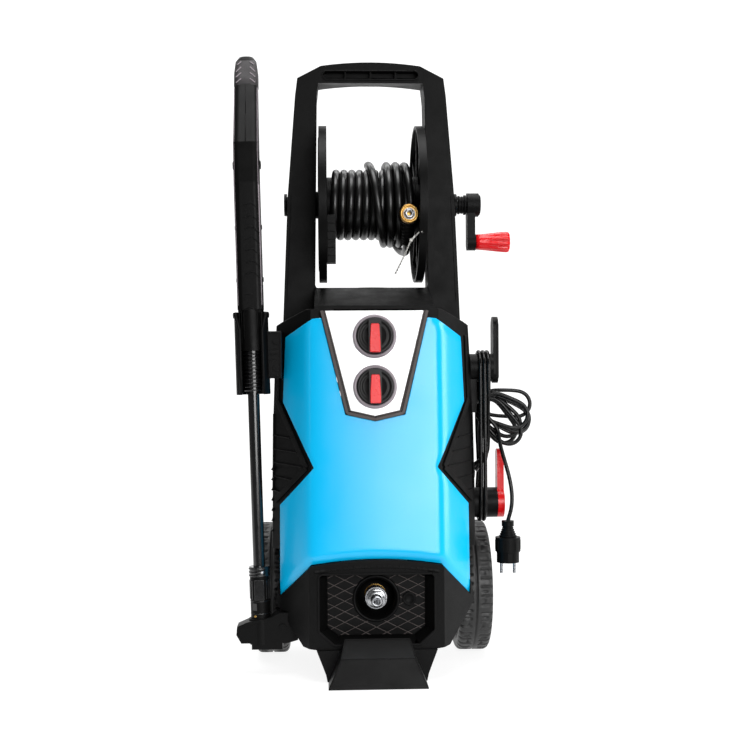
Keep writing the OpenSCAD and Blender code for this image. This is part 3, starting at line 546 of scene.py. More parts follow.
def edge_distance(x, z, lines):
    """Distance of a point to the nearest of some straight lines."""
    best = 1e9
    for (ax, az), (bx, bz) in lines:
        dx, dz = bx - ax, bz - az
        t = max(0.0, min(1.0, ((x - ax) * dx + (z - az) * dz) / (dx * dx + dz * dz)))
        best = min(best, math.hypot(x - ax - t * dx, z - az - t * dz))
    return best


def inside(x, z, outline):
    odd = False
    for (ax, az), (bx, bz) in zip(outline, outline[1:] + outline[:1]):
        if (az > z) != (bz > z) and x < (bx - ax) * (z - az) / (bz - az) + ax:
            odd = not odd
    return odd


def subdivided(outline, step):
    """The outline with extra points, at most step apart."""
    points = []
    for (ax, az), (bx, bz) in zip(outline, outline[1:] + outline[:1]):
        count = max(1, math.ceil(math.hypot(bx - ax, bz - az) / step))
        points += [(ax + (bx - ax) * k / count, az + (bz - az) * k / count)
                   for k in range(count)]
    return points


def sheet_over(outline, step, height):
    """A fine triangle sheet inside an outline drawn in X and Z, with y from height(x, z)."""
    border = subdivided(outline, step)
    flat = [Vector(p) for p in border]
    lines = list(zip(border, border[1:] + border[:1]))
    lo_x, hi_x = min(p[0] for p in border), max(p[0] for p in border)
    lo_z, hi_z = min(p[1] for p in border), max(p[1] for p in border)
    rows = int((hi_z - lo_z) / step)
    for i in range(1, rows):
        z = lo_z + (hi_z - lo_z) * i / rows
        columns = int((hi_x - lo_x) / step)
        for k in range(1, columns):
            x = lo_x + (hi_x - lo_x) * (k + 0.5 * (i % 2)) / columns
            if inside(x, z, border) and edge_distance(x, z, lines) > step * 0.55:
                flat.append(Vector((x, z)))
    made = delaunay_2d_cdt(flat, [], [list(range(len(border)))], 1, 1e-6)
    verts = [(p[0], height(p[0], p[1]), p[1]) for p in made[0]]
    return verts, [tuple(face) for face in made[2]]


def front_cover():
    """Blue shell with soft creases, rolled edges and a sloping strip along its lower edge."""
    arch_points = [(x, 170 - 8 * (x / 92) ** 2) for x in range(80, 0, -16)]
    half = [(75.7, 511), (78, 511), (89, 510), (129, 485), (133, 390), (88, 298), (138, 241),
            (138, 111), (92, 162)] + arch_points
    outline = [(0, 363.5), (42.5, 373)] + half + [(0, 170)]
    outline += [(-x, z) for x, z in reversed(half)] + [(-42.5, 373)]
    low = [(138, 111), (92, 162)] + arch_points + [(0, 170)]
    low = low + [(-x, z) for x, z in reversed(low[:-1])]
    low_lines = list(zip(low, low[1:]))
    shoulder_lines = [((s * 89, 510), (s * 129, 485)) for s in (-1, 1)]
    side = [(129, 485), (133, 390), (88, 298), (138, 241), (138, 111)]
    side_lines = [((s * a[0], a[1]), (s * b[0], b[1])) for a, b in zip(side, side[1:])
                  for s in (-1, 1)]

    def height(x, z):
        over = abs(x) - 95
        y = face_y(z) + 1.35 * (over + math.sqrt(over * over + 70)) / 2
        y += 5.5 * smooth_step(1 - edge_distance(x, z, low_lines) / 12) ** 1.2
        y += 2.4 * smooth_step(1 - edge_distance(x, z, shoulder_lines) / 10)
        y += 1.2 * (1 - math.sqrt(min(1.0, edge_distance(x, z, side_lines) / 2.5)))
        return y

    shape = Shape()
    shape.add(*sheet_over(outline, 4.0, height))
    cover = shape.made("blue_cover", "root", BLUE, "blue_shell")
    wall = cover.modifiers.new("wall", "SOLIDIFY")
    wall.thickness = 0.0022
    wall.offset = -1 if cover.data.polygons[0].normal.y < 0 else 1
    rounded(cover, 0.7, 2)
    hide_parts("front_cover")


front_cover()


# ---- Control panel ----

def panel_line(grow):
    """Sides and pointed bottom of the panel, right to left, grown outwards."""
    return [(70.5 + grow, 521), (35 + grow, 379 - grow * 0.8), (0, 371 - grow),
            (-35 - grow, 379 - grow * 0.8), (-70.5 - grow, 521)]


def along(path, step):
    """Evenly spaced points on a path, with the direction at each."""
    found = []
    for a, b in zip(path, path[1:]):
        length = math.dist(a, b)
        for k in range(int(length / step)):
            t = (k + 0.5) * step / length
            found.append((a[0] + (b[0] - a[0]) * t, a[1] + (b[1] - a[1]) * t,
                          (b[0] - a[0]) / length, (b[1] - a[1]) / length))
    return found


def panel_details():
    ribs = Shape()
    for x, z, dx, dz in along(panel_line(1.7), 3.0):
        nx, nz = -dz, dx
        y = face_y(z) - 1.6
        skew = 1.1
        ribs.bar((x + nx * 1.2 + dx * skew, y, z + nz * 1.2 + dz * skew),
                 (x - nx * 1.2 - dx * skew, y, z - nz * 1.2 - dz * skew), 1.3, 1.0, FRONT)
    ribs.made("trim_ribs", "root", BAND_GREY, "black_gloss")
    band = Shape()
    band.run([(x, face_y(z) - 1.3, z) for x, z in panel_line(4.9)], 4.2, 2.2, FRONT)
    band.made("trim_band", "root", BAND_GREY, "black_gloss", edge=0.5)
    line = Shape()
    line.run([(x, face_y(z) - 1.6, z) for x, z in panel_line(0.3)], 0.9, 1.4, FRONT)
    line.made("trim_bright_line", "root", BAND_GREY, "black_gloss")
    # Surrounds of the knobs, standing for silver rings whose mauve-grey colour is a painted reflection,
    # and the ribbed rims of their dials
    for name, z in KNOBS:
        ring = Shape()
        centre = Vector((0, face_y(z), z))
        profile = [(26.3, 4.0), (26.5, 5.6), (27.4, 6.2), (29.4, 6.1), (30.7, 5.3), (31.2, 2.4),
                   (31.3, -0.5), (26.3, -0.5)]
        ring.lathe(profile + [profile[0]], centre, FACE_OUT, 96)
        ring.made(name + "_surround", "root", MAUVE, "black_gloss")
        dial = Shape()
        profile = [(0.5, 8.15), (15.5, 8.15), (16.2, 8.9), (17.6, 8.9), (18.2, 8.2), (21.4, 8.2),
                   (22.0, 9.3), (24.6, 9.5), (25.6, 8.8), (26.05, 6.6), (26.05, 3.0), (24, 2.5)]
        dial.lathe(profile, centre, FACE_OUT, 96)
        dial.knurl(60, centre + FACE_OUT * 4.2, centre + FACE_OUT * 8.4, 25.7, 1.0, 1.0)
        dial.made(name + "_dial_rim", name + "_dial", KNOB, "black_gloss")


panel_details()


# ---- Connection pocket and foot ----

POCKET = both([(60, 50), (82, 70), (82, 146), (78, 150)])
PORT_Z = 111


def clip_line(px, pz, dx, dz, outline, hole):
    """Stretches of a line that are inside an outline and outside a round hole (x, z, r)."""
    hits = []
    for (ax, az), (bx, bz) in zip(outline, outline[1:] + outline[:1]):
        ex, ez = bx - ax, bz - az
        cross = dx * ez - dz * ex
        if abs(cross) < 1e-9:
            continue
        t = ((ax - px) * ez - (az - pz) * ex) / cross
        s = ((ax - px) * dz - (az - pz) * dx) / cross
        if 0 <= s < 1:
            hits.append(t)
    hits.sort()
    pieces = []
    for a, b in zip(hits[::2], hits[1::2]):
        hx, hz, hr = hole
        mid = (hx - px) * dx + (hz - pz) * dz
        off = math.hypot(px + mid * dx - hx, pz + mid * dz - hz)
        if off < hr:
            half = math.sqrt(hr * hr - off * off)
            pieces += [(a, min(b, mid - half)), (max(a, mid + half), b)]
        else:
            pieces.append((a, b))
    return [(a, b) for a, b in pieces if b - a > 2]


def pocket_details():
    floor_y = -94
    inner = both([(59.4, 52), (80, 71), (80, 144.5), (76, 148)])
    # Diamond lines on the pocket floor: raised bars coloured grey, a painted highlight along their
    # edges on the black floor
    lines = Shape()
    slope = math.atan2(10, 20)
    for sign in (-1, 1):
        dx, dz = math.cos(slope), sign * math.sin(slope)
        nx, nz = -dz, dx
        for k in range(-9, 10):
            px, pz = nx * 13.4 * k, 100 + nz * 13.4 * k
            for a, b in clip_line(px, pz, dx, dz, inner, (0, PORT_Z, 33.5)):
                lines.bar((px + dx * a, floor_y - 0.4, pz + dz * a),
                          (px + dx * b, floor_y - 0.4, pz + dz * b), 0.9, 1.3, FRONT)
    lines.made("pocket_diamonds", "root", BAND_GREY, "black_shell", edge=0.3)
    # Raised frame round the pocket
    rim = Shape()
    rim.run([(x, -119.4, z) for x, z in POCKET + POCKET[:1]], 3.2, 2.6, FRONT)
    rim.made("pocket_frame", "root", BLACK, "black_shell", edge=0.7)
    port = Shape()
    profile = [(29.4, -6), (29.4, 1.5), (30.2, 3.0), (32.0, 3.2), (33.6, 2.2), (34.0, 0), (34, -6)]
    port.lathe(profile + [profile[0]], (0, floor_y, PORT_Z), FRONT, 96)
    profile = [(29.5, 1.0), (27.5, -2), (26.8, -26), (18, -30), (15.5, -30)]
    port.lathe(profile, (0, floor_y, PORT_Z), FRONT, 96)
    port.made("port_sleeve", "root", FINE_BLACK, "black_shell")
    boss = Shape()
    profile = [(0.2, 1.6), (6.4, 1.6), (7.0, 2.6), (9.4, 2.6), (10.0, 1.4), (10.0, -1), (0.2, -1)]
    boss.lathe(profile, (47, floor_y, 110), FRONT, 48)
    boss.made("pocket_boss", "root", BLACK, "black_shell")
    # Knurled nut, collars and hexagon of the water inlet
    nut = Shape()
    nut.lathe([(8, 0), (14.2, 0), (15.0, 1.2), (15.0, 15), (13.6, 17.4), (9, 18)],
              (0, -74, PORT_Z), FRONT, 48)
    nut.knurl(36, (0, -76, PORT_Z), (0, -89, PORT_Z), 14.9, 1.4, 1.2)
    nut.made("inlet_knurl", "root", DARK_STEEL, "steel")
    wash = Shape()
    wash.lathe([(8, 0), (13.2, 0), (13.8, 0.6), (13.8, 2.0), (13.2, 2.6), (8, 2.6)],
               (0, -93, PORT_Z), FRONT, 64)
    wash.lathe([(6, 0), (12.4, 0), (12.6, 0.6), (12.6, 6.4), (12, 7), (6, 7)],
               (0, -96.5, PORT_Z), FRONT, 6)
    profile = [(7.5, 0), (8.5, 0.2), (8.5, 1.4), (7.5, 2.2), (8.5, 3.2), (8.5, 4.2), (7.5, 5.2)]
    wash.lathe(profile, (0, -106, PORT_Z), FRONT, 48)
    wash.lathe([(4.7, 0), (7.9, 0), (8.3, 0.4), (8.3, 3.2), (7.2, 5.4), (5.0, 6.0), (4.5, 4)],
               (0, -113.4, PORT_Z), FRONT, 48)
    wash.made("inlet_collars", "root", STEEL, "steel")


pocket_details()


# ---- Shell details ----

def shell_y(x, z):
    """Front of the black shells beside the cover, in millimetres."""
    return face_y(z) + 7 + 1.35 * max(0.0, abs(x) - 92.2)


def facet_up(x):
    """Outward direction of the shell's side facet."""
    return (1.35 if x > 0 else -1.35, -1, 0.05) if abs(x) > 92.2 else FRONT


def shell_strip(shape, path, width, height, sink=0.3):
    """A raised strip that follows a path drawn in X and Z on the black shell."""
    points = []
    for a, b in zip(path, path[1:]):
        count = max(1, int(math.dist(a, b) / 14))
        points += [(a[0] + (b[0] - a[0]) * k / count, a[1] + (b[1] - a[1]) * k / count)
                   for k in range(count)]
    points.append(path[-1])
    placed = [Vector((x, shell_y(x, z), z)) for x, z in points]
    for a, b in zip(placed, placed[1:]):
        up = Vector(facet_up((a.x + b.x) / 2)).normalized()
        lift = up * (height / 2 - sink)
        ahead = (b - a).normalized() * 0.4
        shape.bar(a + lift - ahead, b + lift + ahead, width, height, up)


def shell_details():
    for s, side in ((-1, "left"), (1, "right")):
        rim = Shape()
        outer = [(140, 392), (97.5, 297.5), (144, 246)]
        shell_strip(rim, [(s * x, z) for x, z in outer], 9, 3.4)
        shell_strip(rim, [(s * 136.5, 487), (s * 139.5, 392)], 5, 3.0)
        rim.made(f"{side}_waist_rim", "root", BLACK, "black_shell", edge=0.9)
        ribs = Shape()
        for z, inner in ((338, 122), (318, 112), (298, 104), (278, 118), (258, 136)):
            shell_strip(ribs, [(s * inner, z), (s * 147.5, z + 3)], 1.6, 2.4)
        shell_strip(ribs, [(s * 146.5, 372), (s * 147.5, 262)], 1.8, 2.6)
        ribs.made(f"{side}_waist_ribs", "root", FINE_BLACK, "black_shell", edge=0.4)
        # Louvres on the flat side of the body
        louvres = Shape()
        for k in range(7):
            z = 205 + 15 * k if s < 0 else 366 - 9 * k
            y0, y1 = (-34, 12) if s < 0 else (24, 52)
            louvres.prism([(s * 148.5, y0, z), (s * 151.6, y0, z - 4.5), (s * 148.5, y0, z - 5.5)],
                          (0, y1 - y0, 0))
        louvres.made(f"{side}_louvres", "root", FINE_BLACK, "black_shell", edge=0.35)
    back = Shape()
    frame_path = [(-72, 500), (72, 500), (80, 492), (80, 320), (72, 312), (-72, 312), (-80, 320),
                  (-80, 492), (-72, 500)]
    back.run([(x, 100.6, z) for x, z in frame_path], 3.0, 2.4, BACK)
    for k in range(6):
        x = -62.5 + 25 * k
        back.bar((x, 100.4, 120), (x, 100.4, 290), 4.0, 1.8, BACK)
    back.made("back_frame", "root", BLACK, "black_shell", edge=0.7)
    screws = Shape()
    places = [(s * 101, 101.0, z) for s in (-1, 1) for z in (150, 300, 470)]
    for x, y, z in places:
        profile = [(0.3, -1.2), (1.6, -1.2), (1.7, 0.6), (3.6, 0.9), (4.3, 0.2), (4.5, -2)]
        screws.lathe(profile, (x, y, z), BACK, 24)
    for x, z in ((-120, 650), (120, 650), (-110, 800), (110, 800)):
        profile = [(0.3, -1.0), (1.5, -1.0), (1.6, 0.4), (3.2, 0.6), (3.9, 0.0), (4.0, -2)]
        screws.lathe(profile, (x, 62.4, z), BACK, 24)
    screws.made("back_screws", "root", DARK_STEEL, "steel")


shell_details()


# ---- Handle ----

def handle_details():
    rim = Shape()
    z0, half, r = 881.5, 66, 6.6
    path = []
    for k in range(13):
        a = math.pi / 2 - math.pi * k / 12
        path.append((half + r * math.cos(a), z0 + r * math.sin(a)))
    path += [(half - 22 * k, z0 - r) for k in range(1, 6)]
    for k in range(13):
        a = -math.pi / 2 - math.pi * k / 12
        path.append((-half + r * math.cos(a), z0 + r * math.sin(a)))
    path += [(-half + 22 * k, z0 + r) for k in range(1, 6)]
    path.append(path[0])
    rim.tube([(x, 4.8, z) for x, z in path], 1.15, 8)
    rim.made("grip_recess_rim", "root", BLACK, "black_shell")
    soft = Shape()
    for x in [-57, -19, 19, 57]:
        soft.tube([(x - 17, 18, z0 - 3.2), (x, 17.2, z0 - 3.6), (x + 17, 18, z0 - 3.2)], 2.6, 10)
    soft.made("grip_recess_pads", "root", FINE_BLACK, "black_shell")
    # Raised lines down the inner and outer edges of the legs
    lines = Shape()
    for s in (-1, 1):
        lines.bar((s * 82.2, 5.2, 846), (s * 86.4, 5.2, 567), 1.6, 1.6, FRONT)
        lines.bar((s * 120.5, 4.6, 700), (s * 127.5, 4.6, 540), 1.0, 1.2, FRONT)
    lines.made("leg_edge_lines", "root", BLACK, "black_shell", edge=0.4)


handle_details()


# ---- Reel ----

def bend(start, middle, end, count):
    """Points of a smooth bend from start to end that leans towards middle."""
    start, middle, end = Vector(start), Vector(middle), Vector(end)
    return [start * (1 - t) ** 2 + middle * 2 * t * (1 - t) + end * t * t
            for t in (i / count for i in range(count + 1))]


def reel_details():
    for s, side in ((-1, "left"), (1, "right")):
        bumps = Shape()
        for k in range(8):
            a = math.radians(45 * k + 22.5)
            for r in (104, 86, 68):
                bumps.lathe([(4.5, 0), (4.2, 2.2), (3.2, 3.4), (0.2, 3.8)],
                            (s * 76, REEL_Y + r * math.cos(a), REEL_Z + r * math.sin(a)),
                            (-s, 0, 0), 16)
        for r in (62, 80, 98):
            ring = [(r - 1, 0), (r - 0.8, 2.2), (r + 0.8, 2.2), (r + 1, 0), (r - 1, 0)]
            bumps.lathe(ring, (s * 76, REEL_Y, REEL_Z), (-s, 0, 0), 96)
        # Raised rings on the outer face
        for r in (60, 100):
            ring = [(r - 2, 0), (r - 1.4, 1), (r + 1.4, 1), (r + 2, 0), (r - 2, 0)]
            bumps.lathe(ring, (s * 79, REEL_Y, REEL_Z), (s, 0, 0), 96)
        bumps.made(f"{side}_flange_relief", "reel", FINE_BLACK, "black_gloss")
    guide = Shape()
    guide.prism([(-67, -33, 666), (-67, -33, 596), (-67, -19, 594), (-67, -19, 668)], (13, 0, 0))
    for k in range(5):
        guide.bar((-66, -33.4, 606 + 12 * k), (-55, -33.4, 606 + 12 * k), 2.0, 1.4, FRONT)
    guide.made("hose_guide", "reel", FINE_BLACK, "black_gloss", edge=1.2)
    # End fitting: brass swivel ring round a steel core, with a ribbed sleeve behind it
    centre = (FITTING_X, -58, FITTING_Z)
    ring = Shape()
    profile = [(9.6, -1.5), (9.9, 1.4), (11.2, 2.6), (13.0, 2.3), (13.9, 1.0), (14.1, -4),
               (13.2, -4.4), (13.2, -1.5)]
    ring.lathe(profile + [profile[0]], centre, FRONT, 64)
    ring.made("swivel_ring", "reel", BRASS, "brass")
    core = Shape()
    profile = [(3.2, -3.5), (3.4, 3.4), (4.4, 4.6), (6.4, 4.8), (7.6, 3.6), (8.0, 1.6), (8.1, -3.5)]
    core.lathe(profile, centre, FRONT, 6)
    profile = [(7.0, -2.5), (7.0, 0.4), (8.8, 0.8), (9.2, -0.4), (9.2, -2.5)]
    core.lathe(profile, centre, FRONT, 48)
    core.made("swivel_core", "reel", STEEL, "steel")
    knurl = Shape()
    knurl.knurl(28, (FITTING_X, -41.5, FITTING_Z), (FITTING_X, -29.5, FITTING_Z), 13.8, 1.5, 1.4)
    knurl.made("hose_nut_ribs", "reel", FINE_BLACK, "black_gloss")
    sleeve = Shape()
    radii = [9.6 - 1.6 * i / 30 + (0.7 if i % 4 < 2 else 0) for i in range(31)]
    sleeve.tube(bend((53, -29, 658), (53, -14, 637), (53, -3, 628.5), 30), radii, 32)
    sleeve.made("hose_sleeve", "reel", FINE_BLACK, "black_gloss")
    # Cable tie: a flat strap, its round head, then its twisted tail
    tie = Shape()
    strap = [(71, -70, 636), (68, -62, 637), (62, -55, 632), (56, -50, 626)]
    tie.run(strap, 2.6, 1.1, (0.3, -0.8, 0.6))
    tie.lathe([(0.2, -2), (2.2, -2), (2.5, 0), (2.2, 2), (0.2, 2)], (56, -50, 626), (0, -1, 0.4), 12)
    tail = bend((56, -50, 626), (48, -30, 606), (36, 6, 582), 60)
    for shift in (0, math.pi):
        turns = [38 * i / 60 + shift for i in range(61)]
        tie.tube([p + Vector((math.cos(a), 0.4 * math.sin(a), math.sin(a))) * 0.75
                  for p, a in zip(tail, turns)], 0.62, 6)
    made = tie.made("tie_strap", "reel", TIE_WHITE, "tie_white")
    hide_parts("cable_tie")
    # Crank: stepped collars on the shaft, then the fluted grip and the end of its pin
    collar = Shape()
    for x, r in ((134, 14.2), (138.5, 13.4), (143, 15.2)):
        profile = [(9.5, 0), (r - 0.6, 0), (r, 0.6), (r, 2.6), (r - 0.6, 3.2), (9.5, 3.2)]
        collar.lathe(profile + [profile[0]], (x, REEL_Y, REEL_Z), RIGHT, 48)
    profile = [(0.2, 1.8), (8, 1.8), (9.5, 2.6), (14.5, 2.6), (16, 1.2), (16.2, -1)]
    collar.lathe(profile, (166, REEL_Y, REEL_Z), RIGHT, 48)
    profile = [(9, 0), (11.8, 0.2), (12.4, 1.2), (12.4, 3.2), (11.6, 4.2), (9, 4.4)]
    collar.lathe(profile, (157, REEL_Y, CRANK_PIN_Z), RIGHT, 48)
    collar.made("crank_collars", "reel", BLACK, "black_shell")
    cap = Shape()
    rings = []
    for h, r, deep in ((0, 11.8, 0), (6, 12.2, 0), (14, 12.8, 0.4), (22, 13.6, 1.0),
                       (31, 14.6, 1.8), (40, 15.5, 2.5), (47, 15.9, 2.7), (50.4, 15.2, 2.4),
                       (51.6, 13.0, 1.4), (51.8, 5.0, 0)):
        ring = []
        for k in range(96):
            a = 2 * math.pi * k / 96
            q = r - deep * (0.5 + 0.5 * math.cos(10 * a)) ** 2
            ring.append((162 + h, REEL_Y + q * math.cos(a), CRANK_PIN_Z + q * math.sin(a)))
        rings.append(ring)
    cap.rings(rings)
    made = cap.made("crank_handle_grip", "grip", RED, "red_plastic")
    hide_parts("crank_grip")
    pin = Shape()
    pin.lathe([(0.2, 0.6), (3.0, 0.6), (3.6, 0), (3.6, -2)], (214, REEL_Y, CRANK_PIN_Z), RIGHT, 24)
    pin.made("crank_pin_end", "grip", DARK_STEEL, "steel")


reel_details()


# ---- Gun, lance and their holders ----

LANCE_TURN = math.radians(-1.5)


def on_lance(x, y, z):
    """A point given beside the lance's own axis, measured from the nozzle's end."""
    c, s = math.cos(LANCE_TURN), math.sin(LANCE_TURN)
    return Vector((-165 + x * c + z * s, -64 + y, 48 - x * s + z * c))


LANCE_UP = on_lance(0, 0, 1) - on_lance(0, 0, 0)


def between(table, value):
    """Straight-line reading of a table of pairs."""
    for (a, p), (b, q) in zip(table, table[1:]):
        if value <= b:
            return p + (q - p) * max(0.0, value - a) / (b - a)
    return table[-1][1]


def gun_front(x, z):
    """Front of the gun at height z, with its rounded corners."""
    table = [(417, -18.5), (476, -18.5), (656, -16), (718, -4), (836, 56.1), (854, 65.1), (861, 71.1)]
    over = min(8.9, max(0.0, abs(x) - 9.5))
    return between(table, z) + 9 - math.sqrt(81 - over * over)


def gun_section(z, grow, turns=40):
    """Rounded rectangle round the top of the gun at height z."""
    centre = between([(716, 16), (836, 74.1), (854, 79.1), (861, 81.1)], z)
    deep = between([(716, 40), (836, 36), (854, 28), (861, 20), (863, 12)], z) / 2 + grow
    wide = between([(716, 18.5), (836, 17), (854, 15), (861, 10.5), (863, 6)], z) + grow
    corner = min(9.0, deep - 0.5, wide - 0.5)
    ring = []
    for k in range(turns):
        a = 2 * math.pi * (k + 0.5) / turns
        cx = (wide - corner) * (1 if math.cos(a) > 0 else -1)
        cy = (deep - corner) * (1 if math.sin(a) > 0 else -1)
        ring.append(on_lance(cx + corner * math.cos(a), centre + cy + corner * math.sin(a), z))
    return ring


def gun_details():
    cap = Shape()
    cap.rings([gun_section(z, g) for z, g in ((812, 0.1), (812.6, 0.5), (828, 0.6), (836, 0.6),
                                              (846, 0.6), (854, 0.6), (858, 0.6), (861, 0.7),
                                              (863, 0.6))])
    cap.made("gun_cap", "gun", ROUGH_BLACK, "black_shell")
    lines = Shape()
    for s in (-1, 1):
        for top, end in ((852, 847), (843, 835), (833, 826), (823, 816.5)):
            a, b = (6.5, top), (14.2 if end < 840 else 12.2, end)
            lines.bar(on_lance(s * a[0], gun_front(a[0], a[1]) - 1.1, a[1]),
                      on_lance(s * b[0], gun_front(b[0], b[1]) - 1.0, b[1]), 1.3, 1.0,
                      (s * 0.3, -1, 0))
        for z0, z1 in ((482, 655), (655, 716), (716, 808)):
            lines.bar(on_lance(s * 16.8, gun_front(16.8, z0) - 0.1, z0),
                      on_lance(s * 16.8, gun_front(16.8, z1) - 0.1, z1), 0.9, 0.9, (s, -1, 0))
    lines.made("gun_chevrons", "gun", MAUVE, "black_shell", edge=0.2)
    seam = Shape()
    for z0, z1 in ((718, 764), (764, 811)):
        seam.bar(on_lance(0, gun_front(0, z0) - 0.2, z0), on_lance(0, gun_front(0, z1) - 0.2, z1),
                 0.9, 0.8, FRONT)
    for s in (-1, 1):
        seam.lathe([(6.5, -2), (6.5, 0.6), (5.8, 1.2), (2.6, 1.2), (2.2, 0.5), (0.2, 0.5)],
                   on_lance(s * 19, 14, 688), (s, 0, 0.03), 32)
        for y, z in ((6, 596), (4, 520)):
            seam.lathe([(3.6, -2), (3.6, 0.8), (3.0, 1.3), (0.2, 1.3)], on_lance(s * 18.4, y, z),
                       (s, 0, 0.03), 24)
    seam.made("gun_seam_and_screws", "gun", BLACK, "black_shell")
    grooves = Shape()
    for z in (626, 608, 592, 577, 560, 543, 527):
        path = []
        for k in range(15):
            x = -4 + 20 * k / 14
            path.append(on_lance(x, gun_front(x, z) - 0.15, z + 5.5 * math.sin(math.pi * k / 14) ** 2
                                 - 0.3 * (x + 4)))
        grooves.tube(path, 0.75, 8)
    for half, foot, top, size in ((9.5, 434, 470, 0.8), (13, 426, 486, 0.6)):
        path = [(-half, foot), (-half, (foot + top) / 2), (-half, top)]
        path += [(-half * math.cos(a), top + half * 0.9 * math.sin(a))
                 for a in (math.pi * k / 12 for k in range(1, 12))]
        path += [(half, top), (half, (foot + top) / 2), (half, foot)]
        grooves.tube([on_lance(x, -math.sqrt(18.6 ** 2 - x * x) - 0.1, z) for x, z in path],
                     size, 8)
    grooves.made("gun_finger_lines", "gun", FINE_BLACK, "black_shell")
    # Holster: rolled lips that flare at the mouth, and a raised frame on its arm
    lips = Shape()
    for s in (-1, 1):
        path = [on_lance(s * 16.2, -17.6, z) for z in (356, 380, 404, 428, 446)]
        path += [on_lance(s * (16.2 + 1.5 * k), -17.6 + 0.4 * k, 446 + 6.5 * k) for k in (1, 2, 3, 4)]
        lips.tube(path, 2.5, 12)
    lips.rings([[on_lance(r * math.cos(a), r * math.sin(a), z)
                 for a in (math.radians(-38 + 256 * k / 40) for k in range(41))] +
                [on_lance(q * math.cos(a), q * math.sin(a), z)
                 for a in (math.radians(218 - 256 * k / 40) for k in range(41))]
                for z, r, q in ((464, 24.3, 22), (465, 26.0, 22), (470, 26.4, 22), (472.5, 25.4, 22))])
    lips.made("holster_lips", "root", BLACK, "black_shell")
    # Ribs of the collar between the gun and the lance
    rings = Shape()
    for k in range(11):
        rings.lathe([(11.5, -1.5), (13.2, -1.2), (13.9, 0), (13.2, 1.2), (11.5, 1.5)],
                    on_lance(0, 0, 360.5 + 5.2 * k), LANCE_UP, 40)
    rings.made("lance_collar_rings", "gun", GLOSS_BLACK, "black_gloss")
    arm = Shape()
    corners = [(-156, 428), (-136, 428), (-136, 490), (-156, 490), (-156, 428)]
    arm.run([(x, -72.3, z) for x, z in corners], 1.6, 1.4, FRONT)
    for z in (452, 459, 466):
        arm.bar((-153, -72.2, z), (-139, -72.2, z + 1.5), 1.4, 1.2, FRONT)
    arm.made("holster_arm_frame", "root", BLACK, "black_shell", edge=0.4)


gun_details()


def nozzle_details():
    ribs = Shape()
    for z in (92.8, 97.6, 102.4):
        ribs.lathe([(14.2, -1.3), (15.1, -1.1), (15.5, 0), (15.1, 1.1), (14.2, 1.3)],
                   on_lance(0, 0, z + 1), LANCE_UP, 48)
    ribs.made("lance_rings", "gun", GLOSS_BLACK, "black_gloss")
    grips = Shape()
    for k in range(20):
        a = 2 * math.pi * (k + 0.5) / 20
        u = Vector((math.cos(a), math.sin(a), 0))
        if u.y < -0.72:
            continue
        grips.bar(on_lance(14.1 * u.x, 14.1 * u.y, 60), on_lance(14.1 * u.x, 14.1 * u.y, 87),
                  2.0, 1.6, u)
    grips.bar(on_lance(0, -13.6, 59), on_lance(0, -13.6, 88), 14, 2.6, FRONT)
    grips.bar(on_lance(-7, -12.2, 44), on_lance(-7, -12.2, 55), 7.5, 1.6, (-0.5, -0.87, 0))
    for z in (39, 57):
        grips.lathe([(13.6, -0.8), (14.5, -0.5), (14.5, 0.5), (13.6, 0.8)], on_lance(0, 0, z),
                    LANCE_UP, 48)
    grips.made("nozzle_grip_ribs", "nozzle", GLOSS_BLACK, "black_gloss", edge=0.5)
    dot = Shape()
    dot.lathe([(2.4, -2), (2.4, 0.3), (1.9, 0.8), (0.2, 0.9)], on_lance(5, -13.9, 98.5),
              (0.34, -0.94, 0), 24)
    dot.made("lance_steel_dot", "gun", STEEL, "steel")
    mark = Shape()
    mark.lathe([(1.8, -2), (1.8, 0.2), (1.4, 0.5), (0.2, 0.5)], on_lance(-7, -12.4, 36),
               (-0.5, -0.87, 0), 20)
    mark.made("nozzle_mark", "nozzle", BRASS, "brass")
    cup = Shape()
    for a, b in (((-197, 69), (-185, 74.4)), ((-185, 74.4), (-150, 81.4)),
                 ((-150, 81.4), (-139, 87.4)), ((-139, 87.4), (-114, 87.4)),
                 ((-191.5, 48), (-198, 58)), ((-198, 58), (-197, 69)), ((-179, 47.6), (-191, 47.6))):
        cup.bar((a[0], -80.2, a[1]), (b[0], -80.2, b[1]), 2.2, 1.4, FRONT)
    cup.lathe([(13.0, -1.0), (16.6, -1.0), (17.4, 0.0), (17.2, 1.6), (16.2, 2.2), (13.2, 2.2),
               (13.0, -1.0)], on_lance(0, 0, 30), LANCE_UP, 48)
    cup.made("cup_edges", "root", BLACK, "black_shell", edge=0.4)


nozzle_details()


# ---- Wheels ----

WHEEL_X, WHEEL_Y, WHEEL_Z = 153, 72, 100


